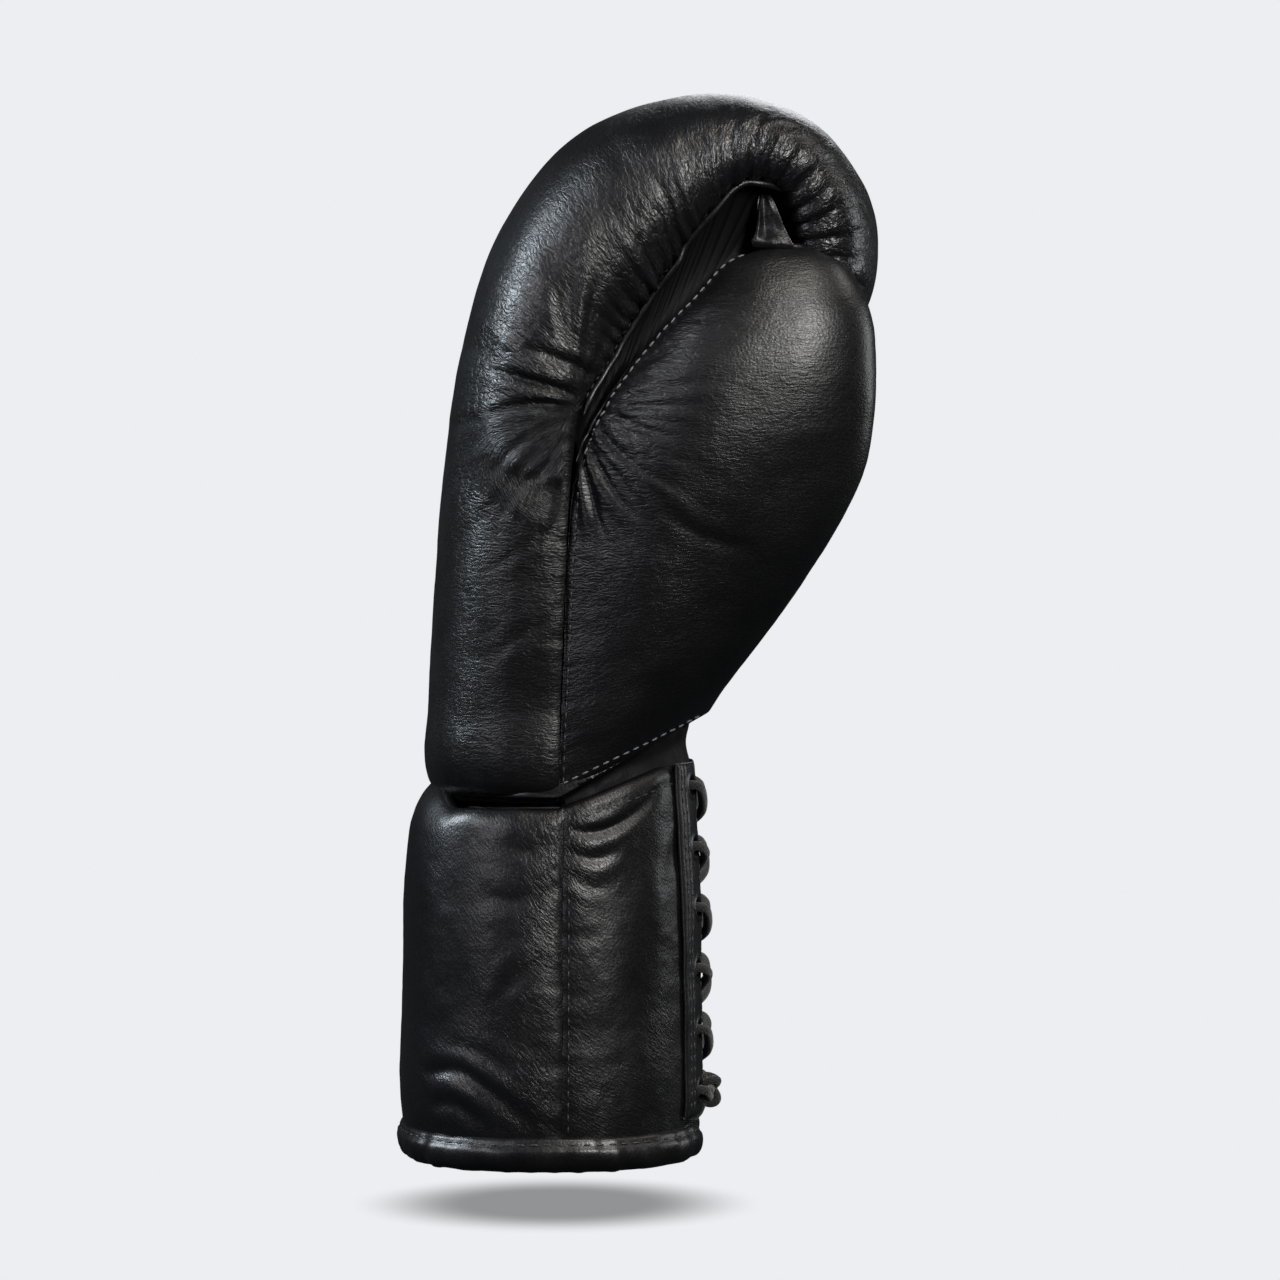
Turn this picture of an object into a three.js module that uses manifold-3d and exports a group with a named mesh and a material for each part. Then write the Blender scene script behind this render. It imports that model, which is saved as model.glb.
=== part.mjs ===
// A lace-up boxing glove for the left hand, in millimetres, standing on the rim of its cuff.
// +X points to the palm, -Y to the thumb side and +Z from the cuff to the knuckles.
import * as THREE from "three";
import { mergeVertices } from "three/addons/utils/BufferGeometryUtils.js";
import Module from "manifold-3d";

const wasm = await Module();
wasm.setup();

// ---------------------------------------------------------------- driving dimensions

const CENTRE = [24.4, -0.4]; // the middle of the glove's box over the cuff's own middle, in X and Y
const LEATHER = 1.6; // thickness of every leather panel
const GAP = 0.3; // clearance between pieces that touch
const LINING = 1.2; // thickness of the satin lining
const PALM_WALL = 5; // lining, thin padding and leather over the palm
const PINKY_WRAP = 8; // how much further the knuckle panel wraps on the little-finger side
const SQUARENESS = 2.4; // exponent of the padded sections, 2 is an ellipse

const WRIST = { x: 2, z: 107 }; // the line that the wrist bends about
const FIST_FLOOR = 107.5; // lower edge of the fist at the back of the wrist
const HEEL_EDGE = { x: 43, z: 130.5 }; // where the fist's lower edge meets the palm side
const CUFF_TOP = { back: 103, wrist: 105.5, palm: 119.5 }; // upper edge of the cuff
const THUMB_SPLIT = 202; // height at which the thumb bends away from its heel
const THUMB_GAP = 1.2; // half the space left there
const THUMB_HINGE = { y: -66, z: THUMB_SPLIT }; // the line along X that the thumb bends about
const THUMB_SWING = 4; // degrees that the thumb lifts off the fist
const SWING_GAP = 0.5; // extra clearance around what swings

const RIM = 4; // height of the rolled binding under the cuff's wall
const BINDING_LIP = 10; // height of the binding's outer lip
const THROAT = 12; // half the space between the two lace facings
const FACING_EDGE = 30; // outer edge of each facing, from the middle of the palm side
const FACING = { low: 12.5, high: 117 };
const EYELET = { y: 20, rows: 6, top: 110, pitch: 18, radius: 2.8 };
const LACE_RADIUS = 1.4;
const LACE_SIDES = 6;

// ---------------------------------------------------------------- curves and numbers

const lerp = THREE.MathUtils.lerp;
const power = (x, e) => Math.sign(x) * Math.abs(x) ** e;

// A smooth curve through [a, b, c] triples, read by a share from 0 to 1 of the triples' count.
function curve(rows) {
  const points = rows.map(([a, b, c = 0]) => new THREE.Vector3(a, b, c));
  const line = new THREE.CatmullRomCurve3(points, false, "catmullrom", 0.5);
  return (t) => line.getPoint(t);
}

// ---------------------------------------------------------------- solids

function solid(geometry) {
  const bare = geometry.index ? geometry.toNonIndexed() : geometry.clone();
  bare.deleteAttribute("normal");
  bare.deleteAttribute("uv");
  const merged = mergeVertices(bare, 1e-4);
  const mesh = new wasm.Mesh({
    numProp: 3,
    vertProperties: merged.attributes.position.array,
    triVerts: new Uint32Array(merged.index.array),
  });
  return new wasm.Manifold(mesh);
}

// A closed skin over rings of equally many points, with a fan over each end.
function loft(rings) {
  const n = rings[0].length;
  const middle = (ring) =>
    ring.reduce((sum, p) => sum.add(p), new THREE.Vector3()).divideScalar(n);
  const points = [...rings.flat(), middle(rings[0]), middle(rings.at(-1))];
  const first = rings.length * n;
  const triangles = [];
  for (let i = 0; i < n; i++) {
    const j = (i + 1) % n;
    for (let k = 0; k + 1 < rings.length; k++) {
      const a = k * n;
      triangles.push(a + i, a + j, a + n + j, a + i, a + n + j, a + n + i);
    }
    triangles.push(first, j, i, first + 1, first - n + i, first - n + j);
  }
  const enclosed = triangles.reduce((sum, _, k) => {
    if (k % 3) return sum;
    const [a, b, c] = [0, 1, 2].map((m) => points[triangles[k + m]]);
    return sum + a.dot(new THREE.Vector3().crossVectors(b, c));
  }, 0);
  if (enclosed < 0) triangles.reverse();
  const geometry = new THREE.BufferGeometry().setFromPoints(points);
  geometry.setIndex(triangles);
  return solid(geometry);
}

function box(x0, x1, y0, y1, z0, z1) {
  const block = new THREE.BoxGeometry(x1 - x0, y1 - y0, z1 - z0);
  block.translate((x0 + x1) / 2, (y0 + y1) / 2, (z0 + z1) / 2);
  return solid(block);
}

// An outline in X and Z carried from y0 to y1.
function prism(outline, y0 = -90, y1 = 90) {
  const shape = new THREE.Shape(outline.map(([x, z]) => new THREE.Vector2(x, z)));
  const block = new THREE.ExtrudeGeometry(shape, { depth: y1 - y0, bevelEnabled: false });
  block.rotateX(Math.PI / 2);
  block.translate(0, y1, 0);
  return solid(block);
}

// A round rod through the points, with one ring at each.
function rod(points, radius, sides = 8) {
  const along = (i) => {
    const [a, b] = [points[Math.max(i - 1, 0)], points[Math.min(i + 1, points.length - 1)]];
    return new THREE.Vector3().subVectors(b, a).normalize();
  };
  let side = new THREE.Vector3(0.31, 0.17, 0.93).cross(along(0)).normalize();
  const rings = points.map((point, i) => {
    const ahead = along(i);
    side = side.clone().addScaledVector(ahead, -side.dot(ahead)).normalize();
    const up = new THREE.Vector3().crossVectors(ahead, side);
    const r = typeof radius === "function" ? radius(i / (points.length - 1)) : radius;
    return Array.from({ length: sides }, (_, k) => {
      const turn = (2 * Math.PI * k) / sides;
      return point
        .clone()
        .addScaledVector(side, r * Math.cos(turn))
        .addScaledVector(up, r * Math.sin(turn));
    });
  });
  return loft(rings);
}

// The solid turned about the thumb's hinge, lifting off the fist for a positive angle.
function swung(part, degrees) {
  const { vertProperties, triVerts } = part.getMesh();
  const geometry = new THREE.BufferGeometry();
  geometry.setAttribute("position", new THREE.BufferAttribute(vertProperties, 3));
  geometry.setIndex(new THREE.BufferAttribute(triVerts, 1));
  geometry.translate(0, -THUMB_HINGE.y, -THUMB_HINGE.z);
  geometry.rotateX(THREE.MathUtils.degToRad(degrees));
  geometry.translate(0, THUMB_HINGE.y, THUMB_HINGE.z);
  return solid(geometry);
}

const joined = (...parts) => parts.reduce((a, b) => a.add(b));
const cut = (part, ...tools) => tools.reduce((a, b) => a.subtract(b), part);
const common = (part, ...others) => others.reduce((a, b) => a.intersect(b), part);

// ---------------------------------------------------------------- the fist's padded hook

// The knuckle padding is a band that rises up the back of the hand and hooks over the fingers.
// outer is its ridge and seam its sewn edge, both in X and Z, at the same stations.
const outer = curve([
  [-36, 107.5], [-38.6, 118], [-38.2, 137], [-36.4, 166], [-33.4, 201], [-28, 240],
  [-17.6, 273], [3, 300], [30, 312.3], [57, 313], [79, 303.5], [93, 285],
  [96, 267], [92.5, 251], [83, 242.5], [73, 245],
]);
const seam = curve([
  [2, 107.5], [2.1, 118], [2.7, 137], [3.8, 164], [5.5, 193], [9, 217],
  [20, 235], [33, 251], [43, 266], [52, 278], [60, 279.5], [67, 273],
  [70.5, 266], [72, 259.5], [73, 255], [73.5, 251],
]);
// Half the width on the thumb side, the angle at which the seam turns in, and half the width opposite.
const hookWidth = curve([
  [47, 97, 47], [50, 98, 50], [52, 99, 52], [56, 101, 55.5], [61, 105, 60], [66, 118, 65],
  [68, 130, 68], [68, 132, 69], [67, 132, 69], [65, 132, 68], [61, 132, 67], [55, 131, 66],
  [50, 128, 64], [47, 122, 62], [45, 114, 59], [43, 105, 56],
]);

const HOOK_STATIONS = 15;
const HOOK_ARC = 6; // points from the ridge to each seam

function hookRing(t, grow, shell = 0) {
  const ridge = outer(t);
  const edge = seam(t);
  const { x: thumbWide, y: turnDegrees, z: pinkyWide } = hookWidth(t);
  const inward = new THREE.Vector3(edge.x - ridge.x, 0, edge.y - ridge.y);
  const depth = inward.length();
  inward.normalize();
  const start = new THREE.Vector3(ridge.x, 0, ridge.y).addScaledVector(inward, shell * depth - grow);
  if (t === 1) start.x -= grow;
  const reach = Math.max((1 - shell) * depth + 2 * grow, 0.8);
  const last = THREE.MathUtils.degToRad(turnDegrees);
  const lowest = 1 - power(Math.cos(last), 2 / SQUARENESS);
  const ring = [];
  for (let i = -HOOK_ARC; i <= HOOK_ARC; i++) {
    const turn = (last * i) / HOOK_ARC;
    const wide = (i < 0 ? thumbWide : pinkyWide) + grow;
    const wrap = i > 0 ? 1 + (PINKY_WRAP / depth) * Math.min(depth / 40, 1) : 1;
    const down = (reach * wrap * (1 - power(Math.cos(turn), 2 / SQUARENESS))) / lowest;
    const point = start.clone().addScaledVector(inward, down);
    point.y = wide * power(Math.sin(turn), 2 / SQUARENESS);
    ring.push(point);
  }
  return ring;
}

// The whole hook, grown by grow. open lets it run out below the fist, to hollow a panel.
function hook(grow = 0, { open = false, shell = 0 } = {}) {
  const rings = [];
  for (let i = 0; i < HOOK_STATIONS; i++) {
    rings.push(hookRing(i / (HOOK_STATIONS - 1), grow, shell));
  }
  if (open) rings.unshift(rings[0].map((p) => p.clone().setZ(FIST_FLOOR - 8)));
  return loft(rings);
}

// ---------------------------------------------------------------- the hand's space

// Middle of the hand's space in X and Z, and the angle it leans forward, then its half sizes.
const handLine = curve([
  [0.5, -8, 0], [0.5, 28, 0], [0.5, 70, 0], [1.5, 105, 0], [5, 130, 2], [8, 160, 4],
  [11, 190, 10], [18, 214, 26], [31, 238, 48], [45, 253, 68], [57, 259, 82], [66, 260, 88],
]);
const handHalf = curve([
  [32, 46], [32, 45.5], [31.5, 44.5], [30, 43], [25.5, 42], [20, 43],
  [18, 44], [17, 44.5], [16.5, 44], [16, 43], [14.5, 41], [8, 36],
]);
const HAND_STATIONS = 11;
const HAND_SIDES = 12;

function hand(grow = 0) {
  const rings = [];
  for (let i = 0; i < HAND_STATIONS; i++) {
    const t = i / (HAND_STATIONS - 1);
    const { x, y: z, z: lean } = handLine(t);
    const { x: thick, y: wide } = handHalf(t);
    const tilt = THREE.MathUtils.degToRad(lean);
    const out = i === HAND_STATIONS - 1 ? grow : 0;
    rings.push(
      Array.from({ length: HAND_SIDES }, (_, k) => {
        const turn = (2 * Math.PI * k) / HAND_SIDES;
        const palmward = (thick + grow) * power(Math.cos(turn), 2 / SQUARENESS);
        return new THREE.Vector3(
          x + palmward * Math.cos(tilt) + out * Math.sin(tilt),
          (wide + grow) * power(Math.sin(turn), 2 / SQUARENESS),
          z - palmward * Math.sin(tilt) + out * Math.cos(tilt),
        );
      }),
    );
  }
  return loft(rings);
}

// The space for the wearer's thumb, which branches off the hand's space.
const THUMB_SPACE = [
  [14, -26, 146], [24, -36, 166], [38, -43, 188], [54, -46, 212], [67, -48, 234], [72, -48, 246],
];
function thumbSpace(grow = 0) {
  const points = THUMB_SPACE.map(([x, y, z]) => new THREE.Vector3(x, y, z));
  points.at(-1).z += grow;
  return rod(points, (t) => 12.5 - 3.5 * t ** 3 + grow, 10);
}

// ---------------------------------------------------------------- the thumb

// The thumb's two edges in X and Z, from the wrist seam to the tip, each with its own Y.
const thumbBack = curve([
  [2, 107.5, -48], [2.6, 125, -50], [3.6, 150, -51], [4.8, 180, -52], [7.5, 204, -53],
  [15, 221, -53], [26, 235.5, -52], [39, 249.5, -51], [48.5, 260, -50], [58, 265, -50],
]);
const thumbFront = curve([
  [43, 130.5, -22], [52, 142, -30], [65, 159.5, -37], [78, 179, -42], [88.6, 199, -45],
  [92.3, 217, -47], [92.8, 234, -48], [91, 248, -48], [84.5, 260, -48], [74, 265.5, -48],
]);
// How far it swells to the thumb side and to the palm side.
const thumbSwell = curve([
  [7, 14], [11, 20], [14, 24], [17, 24], [19, 23], [20, 22], [20, 20], [18, 18], [12, 12], [5, 5],
]);
const THUMB_STATIONS = 10;
const THUMB_SIDES = 12;

function thumb(grow = 0, open = false) {
  const rings = [];
  for (let i = 0; i < THUMB_STATIONS; i++) {
    const t = i / (THUMB_STATIONS - 1);
    const [back, front, swell] = [thumbBack(t), thumbFront(t), thumbSwell(t)];
    const from = new THREE.Vector3(back.x, back.z, back.y);
    const to = new THREE.Vector3(front.x, front.z, front.y);
    const across = new THREE.Vector3().subVectors(to, from);
    const half = across.length() / 2 + grow;
    across.normalize();
    const side = new THREE.Vector3(0, -1, 0).addScaledVector(across, across.y).normalize();
    const middle = from.clone().lerp(to, 0.5);
    if (i === THUMB_STATIONS - 1) middle.z += grow;
    rings.push(
      Array.from({ length: THUMB_SIDES }, (_, k) => {
        const turn = (2 * Math.PI * k) / THUMB_SIDES;
        const rise = power(Math.sin(turn), 2 / SQUARENESS);
        const deep = (rise > 0 ? swell.x : swell.y) + grow;
        return middle
          .clone()
          .addScaledVector(across, half * power(Math.cos(turn), 2 / SQUARENESS))
          .addScaledVector(side, deep * rise);
      }),
    );
  }
  if (open) {
    rings.unshift(rings[0].map((p) => p.clone().add(new THREE.Vector3(2, 0, -8))));
  }
  return loft(rings);
}

// ---------------------------------------------------------------- the cuff

// Middle in X, half depth in X and half width in Y, at heights spread evenly up to CUFF_LOFT_TOP.
const cuffSize = curve([
  [-1.4, 43, 50.5], [-1.6, 44.1, 52], [-1.4, 43.7, 52], [-1.4, 43.5, 51.5], [-1.3, 43.3, 50.5],
  [-1.1, 42.2, 49.3], [-0.3, 40.6, 48.5], [0.1, 40, 48],
]);
const CUFF_LOFT_TOP = 133;
const CUFF_STATIONS = 7;
const CUFF_SIDES = 24;

function cuffPoint(share, turn, grow) {
  const { x, y: deep, z: wide } = cuffSize(share);
  return new THREE.Vector3(
    x + (deep + grow) * power(Math.cos(turn), 2 / SQUARENESS),
    (wide + grow) * power(Math.sin(turn), 2 / SQUARENESS),
    share * CUFF_LOFT_TOP,
  );
}

function cuff(grow = 0, overrun = 0) {
  const rings = [];
  for (let i = 0; i < CUFF_STATIONS; i++) {
    rings.push(
      Array.from({ length: CUFF_SIDES }, (_, k) =>
        cuffPoint(i / (CUFF_STATIONS - 1), (2 * Math.PI * k) / CUFF_SIDES, grow),
      ),
    );
  }
  if (overrun) {
    rings[0].forEach((p) => (p.z -= overrun));
    rings.at(-1).forEach((p) => (p.z += overrun));
  }
  return loft(rings);
}

// X of the cuff's surface on the palm side, at a height and a distance from the middle.
function palmSideX(y, z, grow = 0) {
  const { x, y: deep, z: wide } = cuffSize(z / CUFF_LOFT_TOP);
  const rest = 1 - Math.min(Math.abs(y) / (wide + grow), 1) ** SQUARENESS;
  return x + (deep + grow) * rest ** (1 / SQUARENESS);
}

// ---------------------------------------------------------------- regions that pieces are trimmed to

const SIDE_SEAM = 3; // X of the seams between the cuff's back panel and its side panels
const FAR = 120;

// Everything below the fist's lower edge, which runs level at the back and rises to the palm side.
const slope = (HEEL_EDGE.z - FIST_FLOOR) / (HEEL_EDGE.x - WRIST.x);
const belowFist = (drop = 0) =>
  prism([
    [-FAR, FIST_FLOOR - drop], [WRIST.x, FIST_FLOOR - drop],
    [FAR, FIST_FLOOR - drop + slope * (FAR - WRIST.x)], [FAR, -20], [-FAR, -20],
  ]);
const cuffSlope = (CUFF_TOP.palm - CUFF_TOP.wrist) / (HEEL_EDGE.x - WRIST.x);
const aboveCuff = (lift = 0) =>
  prism([
    [-48, CUFF_TOP.back + lift], [WRIST.x, CUFF_TOP.wrist + lift],
    [FAR, CUFF_TOP.wrist + lift + cuffSlope * (FAR - WRIST.x)], [FAR, 400], [-FAR, 400],
    [-FAR, CUFF_TOP.back + lift],
  ]);
const behindSeam = (shift = 0) => box(-FAR, SIDE_SEAM - shift, -FAR, FAR, -20, 400);
const aheadOfSeam = (shift = 0) => box(SIDE_SEAM + shift, FAR, -FAR, FAR, -20, 400);
const bottomTrim = box(-FAR, FAR, -FAR, FAR, -20, RIM + GAP);
const side = (sign, from, to, x0, z0, z1) =>
  sign < 0 ? box(x0, FAR, -to, -from, z0, z1) : box(x0, FAR, from, to, z0, z1);

// ---------------------------------------------------------------- the fist's pieces

const fistVolume = hook(GAP);
const handSpace = joined(hand(0), thumbSpace(0));
const linedSpace = joined(hand(LINING + GAP), thumbSpace(LINING + GAP));
const palmBody = hand(PALM_WALL + GAP);

const knuckleShell = cut(
  hook(0),
  hook(-LEATHER, { open: true }),
  hand(PALM_WALL + GAP),
  belowFist(),
);
const padSplit = hook(-LEATHER - GAP, { open: true, shell: 0.42 });
const padSplitGrown = hook(-LEATHER, { open: true, shell: 0.415 });
const pad = cut(
  common(hook(-LEATHER - GAP), hook(-LEATHER, { open: true })), linedSpace, belowFist(-1),
);
const outerFoam = cut(pad, padSplitGrown);
const innerFoam = cut(common(pad, padSplit), outerFoam);

const GRIP = { from: [37.5, -16, 208], to: [37.5, 36, 208], radius: 5.5 };
const gripLine = [GRIP.from, GRIP.to].map(([x, y, z]) => new THREE.Vector3(x, y, z));
const gripStretched = (by) => {
  const [a, b] = gripLine.map((p) => p.clone());
  a.y -= by;
  b.y += by;
  return [a, b];
};
const gripBar = cut(rod(gripLine, GRIP.radius, 12), hand(LINING + GAP));
const gripRoom = rod(gripStretched(GAP), GRIP.radius + GAP, 12);
const gripCover = rod(gripStretched(LEATHER + GAP), GRIP.radius + GAP + LEATHER, 12);

const thumbRoot = thumbSpace(LINING + GAP);
const palmPanel = cut(
  joined(hand(PALM_WALL), gripCover),
  hand(PALM_WALL - LEATHER),
  gripRoom,
  hook(GAP, { open: true }),
  thumbRoot,
  belowFist(),
);
const palmPadding = cut(
  hand(PALM_WALL - LEATHER - GAP),
  hand(LINING + GAP),
  gripRoom,
  hook(GAP, { open: true }),
  thumbRoot,
  belowFist(),
);
const handLiner = cut(
  joined(hand(LINING), common(thumbSpace(LINING), box(-FAR, FAR, -FAR, FAR, 0, 172))),
  handSpace,
  belowFist(-1),
);

// ---------------------------------------------------------------- the thumb's pieces

const tipRegion = box(-FAR, FAR, -FAR, FAR, THUMB_SPLIT + THUMB_GAP, 400);
const heelRegion = box(-FAR, FAR, -FAR, FAR, -20, THUMB_SPLIT - THUMB_GAP);
const palmClear = joined(palmBody, rod(gripStretched(2.5), GRIP.radius + 2.5, 12));

// What the thumb must miss: the fist as the thumb sees it all through its swing.
const fistBody = joined(fistVolume, hook(0), palmClear);
const fistRoom = joined(hook(GAP + SWING_GAP), fistBody, hand(PALM_WALL + GAP + SWING_GAP));
const steps = [0, 0.35, 0.7, 1].map((share) => swung(fistRoom, -THUMB_SWING * share));
const thumbClear = joined(...steps);

const thumbWhole = cut(thumb(0), thumb(-LEATHER, true));
const heelCover = cut(common(thumbWhole, heelRegion), fistBody, linedSpace, belowFist());
const thumbCover = cut(common(thumbWhole, tipRegion), thumbClear);
const thumbCore = cut(thumb(-LEATHER - GAP), linedSpace);
const heelFoam = cut(common(thumbCore, heelRegion), fistBody, belowFist());
const thumbFoam = cut(common(thumbCore, tipRegion), thumbClear);
const thumbLiner = cut(common(thumbSpace(LINING), tipRegion), thumbSpace(0), thumbClear);

// The web is a strip of leather between the knuckle panel's edge and the thumb's edge.
function webStrip() {
  const stations = 9;
  const rings = [];
  for (let i = 0; i < stations; i++) {
    const t = i / (stations - 1);
    const edge = seam(lerp(0.345, 0.64, t));
    const rim = thumbBack(lerp(0.5, 0.96, t));
    const a = new THREE.Vector3(edge.x - 3, -52 + 3 * t, edge.y + 3);
    const b = new THREE.Vector3(rim.x + 4, -52 + 2 * t, rim.y - 3);
    const thick = new THREE.Vector3(0, LEATHER, 0);
    rings.push([a, b, b.clone().add(thick), a.clone().add(thick)]);
  }
  return loft(rings);
}
const web = cut(webStrip(), fistVolume, thumb(GAP), palmBody, linedSpace);

// The strap ties the thumb's tip to the fist.
const strapLine = [[66, -46, 283], [66.5, -53, 277.5], [67, -55, 272], [67.5, -54, 267], [68, -50, 262]];
const strapRings = strapLine.map(([x, y, z], i) => {
  const wide = lerp(3.5, 8.5, i / (strapLine.length - 1));
  return [[-wide, 0], [wide, 0], [wide, LEATHER], [-wide, LEATHER]].map(
    ([dx, dy]) => new THREE.Vector3(x + dx, y + dy, z),
  );
});
const strap = cut(loft(strapRings), fistVolume, thumb(GAP), web, palmBody, linedSpace);

// ---------------------------------------------------------------- the cuff's pieces

const cuffSkin = cut(cuff(0), cuff(-LEATHER, 5), bottomTrim, aboveCuff());
const cuffWall = cut(
  cuff(-LEATHER - GAP), hand(LINING + GAP), bottomTrim, aboveCuff(),
);

// Round eyelet holes through the facing and the panel, drilled along X.
const eyeletHeight = (row) => EYELET.top - row * EYELET.pitch;
const drill = (sign) => {
  const holes = [];
  for (let row = 0; row < EYELET.rows; row++) {
    const hole = new THREE.CylinderGeometry(EYELET.radius, EYELET.radius, 40, 8);
    hole.rotateZ(Math.PI / 2);
    hole.translate(45, sign * EYELET.y, eyeletHeight(row));
    holes.push(solid(hole));
  }
  return joined(...holes);
};

const cuffBackPanel = common(cuffSkin, behindSeam(GAP / 2));
const cuffBackFoam = common(cuffWall, behindSeam(GAP / 2));
const sidePanel = (sign) =>
  cut(common(cuffSkin, aheadOfSeam(GAP / 2), side(sign, THROAT, FAR, 0, 0, 200)), drill(sign));
const sidePadding = (sign) =>
  common(cuffWall, aheadOfSeam(GAP / 2), side(sign, FACING_EDGE, FAR, 0, 0, 200));
const facingBlock = cut(cuff(GAP + 1.9), cuff(GAP, 5));
const facing = (sign) =>
  cut(
    common(facingBlock, side(sign, THROAT, FACING_EDGE, 0, FACING.low, FACING.high)),
    aboveCuff(),
    drill(sign),
  );

const TONGUE = { wide: 27, depth: 5.8, thick: 2.4, low: 5, high: 122 };
const tongue = cut(
  common(
    cut(cuff(-TONGUE.depth), cuff(-TONGUE.depth - TONGUE.thick, 5)),
    box(0, FAR, -TONGUE.wide, TONGUE.wide, TONGUE.low, TONGUE.high),
  ),
  hand(LINING + GAP),
  aboveCuff(),
);
const cuffLiner = cut(hand(LINING), hand(0), bottomTrim, aboveCuff());

// The rolled binding turns round the rim of the wall, and is open at the throat.
function bindingProfile(turn) {
  const inside = Math.cos(turn) < -0.2 ? -13.4 : lerp(-9.6, -11.6, Math.abs(Math.cos(turn)));
  return [
    [2.6, 0], [3.1, 1], [3.1, 4.8], [2.2, 8.4], [GAP, BINDING_LIP],
    [GAP, RIM], [inside, RIM], [inside - 1.2, 2], [inside, 0],
  ];
}
function bindingRing() {
  const ringGap = CUFF_LOFT_TOP / (CUFF_STATIONS - 1);
  const rings = [];
  for (let k = 1; k < CUFF_SIDES; k++) {
    const turn = (2 * Math.PI * k) / CUFF_SIDES;
    rings.push(
      bindingProfile(turn).map(([grow, z]) => {
        const low = cuffPoint(0, turn, grow);
        const high = cuffPoint(1 / (CUFF_STATIONS - 1), turn, grow);
        return low.lerp(high, z / ringGap);
      }),
    );
  }
  return loft(rings);
}
const binding = bindingRing();

// ---------------------------------------------------------------- what bridges the wrist

const bridge = cut(cuff(0), cuff(-LEATHER, 5));
const wristGusset = cut(
  common(bridge, aheadOfSeam(1), aboveCuff(GAP), belowFist(GAP)),
  thumb(GAP, true),
);
const creaseStrip = cut(
  common(
    cut(cuff(-6), cuff(-6 - LEATHER, 5)),
    box(-FAR, WRIST.x - 4, -FAR, FAR, 0, 200),
    aboveCuff(GAP),
  ),
  cut(box(-FAR, FAR, -FAR, FAR, FIST_FLOOR - GAP, 400)),
  hand(LINING + GAP),
);

// ---------------------------------------------------------------- the lace

const OVER = 2.2 + LACE_RADIUS + GAP; // height of the lace's middle over a facing
const UNDER = -(LEATHER + LACE_RADIUS + 0.6); // and under the panel
const onPalmSide = (y, z, rise) =>
  new THREE.Vector3(palmSideX(Math.max(Math.abs(y), 3), z) + rise, y, z);

// Half of the lace, from the top bar to the last eyelet, starting on the side given.
function laceHalf(start) {
  const points = [];
  const bridge = start > 0 ? 0.6 : 3.9;
  for (let row = 0; row < EYELET.rows; row++) {
    const sign = start * (row % 2 ? -1 : 1);
    const z = eyeletHeight(row);
    const next = z - EYELET.pitch;
    points.push(onPalmSide(sign * (EYELET.y - 3), z, UNDER));
    points.push(onPalmSide(sign * EYELET.y, z, UNDER + 1.2));
    points.push(onPalmSide(sign * EYELET.y, z, OVER - 0.4));
    points.push(onPalmSide(sign * (THROAT + 1), lerp(z, next, 0.16), OVER));
    if (row === EYELET.rows - 1) break;
    points.push(onPalmSide(0, lerp(z, next, 0.5), bridge));
    points.push(onPalmSide(-sign * 10.2, lerp(z, next, 0.8), UNDER + 0.2));
  }
  return points;
}
const KNOT = { y: 6.5, z: eyeletHeight(EYELET.rows - 1) - 1.5, tall: 5.5, proud: 4 };
const intoKnot = (sign) => [
  onPalmSide(sign * (THROAT + 1), KNOT.z, OVER),
  onPalmSide(sign * (KNOT.y + GAP + 0.6), KNOT.z, OVER),
];
const lastSide = EYELET.rows % 2 ? 1 : -1; // side of the last eyelet of the half that starts at +Y
const lace = rod(
  [
    ...intoKnot(-lastSide).reverse(),
    ...laceHalf(-1).reverse(),
    onPalmSide(0, EYELET.top, UNDER),
    ...laceHalf(1),
    ...intoKnot(lastSide),
  ],
  LACE_RADIUS,
  LACE_SIDES,
);

// The knot lies over the throat, and the lace's ends are tucked up behind the crossings.
const knotX = palmSideX(3, KNOT.z) + OVER;
const knotBall = new THREE.SphereGeometry(1, 10, 6);
knotBall.scale(KNOT.proud, KNOT.y, KNOT.tall);
knotBall.translate(knotX, 0, KNOT.z);
const knot = solid(knotBall);
const tail = (sign) =>
  [
    [2.6, KNOT.z - 7.2, 0.4], [3.2, KNOT.z - 8.6, -1.6], [3.6, KNOT.z - 7, -3.4],
    [3.6, KNOT.z - 1, -3.8], [3.4, 44, -3.8], [3.4, 68, -3.8],
  ].map(([y, z, rise]) => onPalmSide(sign * y, z, rise));
const tip = (sign) =>
  [[3.4, 68 + GAP], [3.4, 82]].map(([y, z]) => onPalmSide(sign * y, z, -3.8));
const laceTail = (sign) => cut(rod(tail(sign), LACE_RADIUS, LACE_SIDES), knot);
const laceTip = (sign) => rod(tip(sign), LACE_RADIUS, LACE_SIDES);

// ---------------------------------------------------------------- the glove

const glove = new THREE.Group();
glove.name = "boxing_glove";
glove.position.set(-CENTRE[0], -CENTRE[1], 0);

const finish = (color, roughness) =>
  new THREE.MeshStandardMaterial({ color, roughness, metalness: 0 });
const leather = finish(0x0b0b0c, 0.38);
const foam = finish(0x2b2b30, 0.9);
const satin = finish(0x131316, 0.6);
const cotton = finish(0x0d0d0e, 0.8);
const plastic = finish(0x050505, 0.3);

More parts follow.
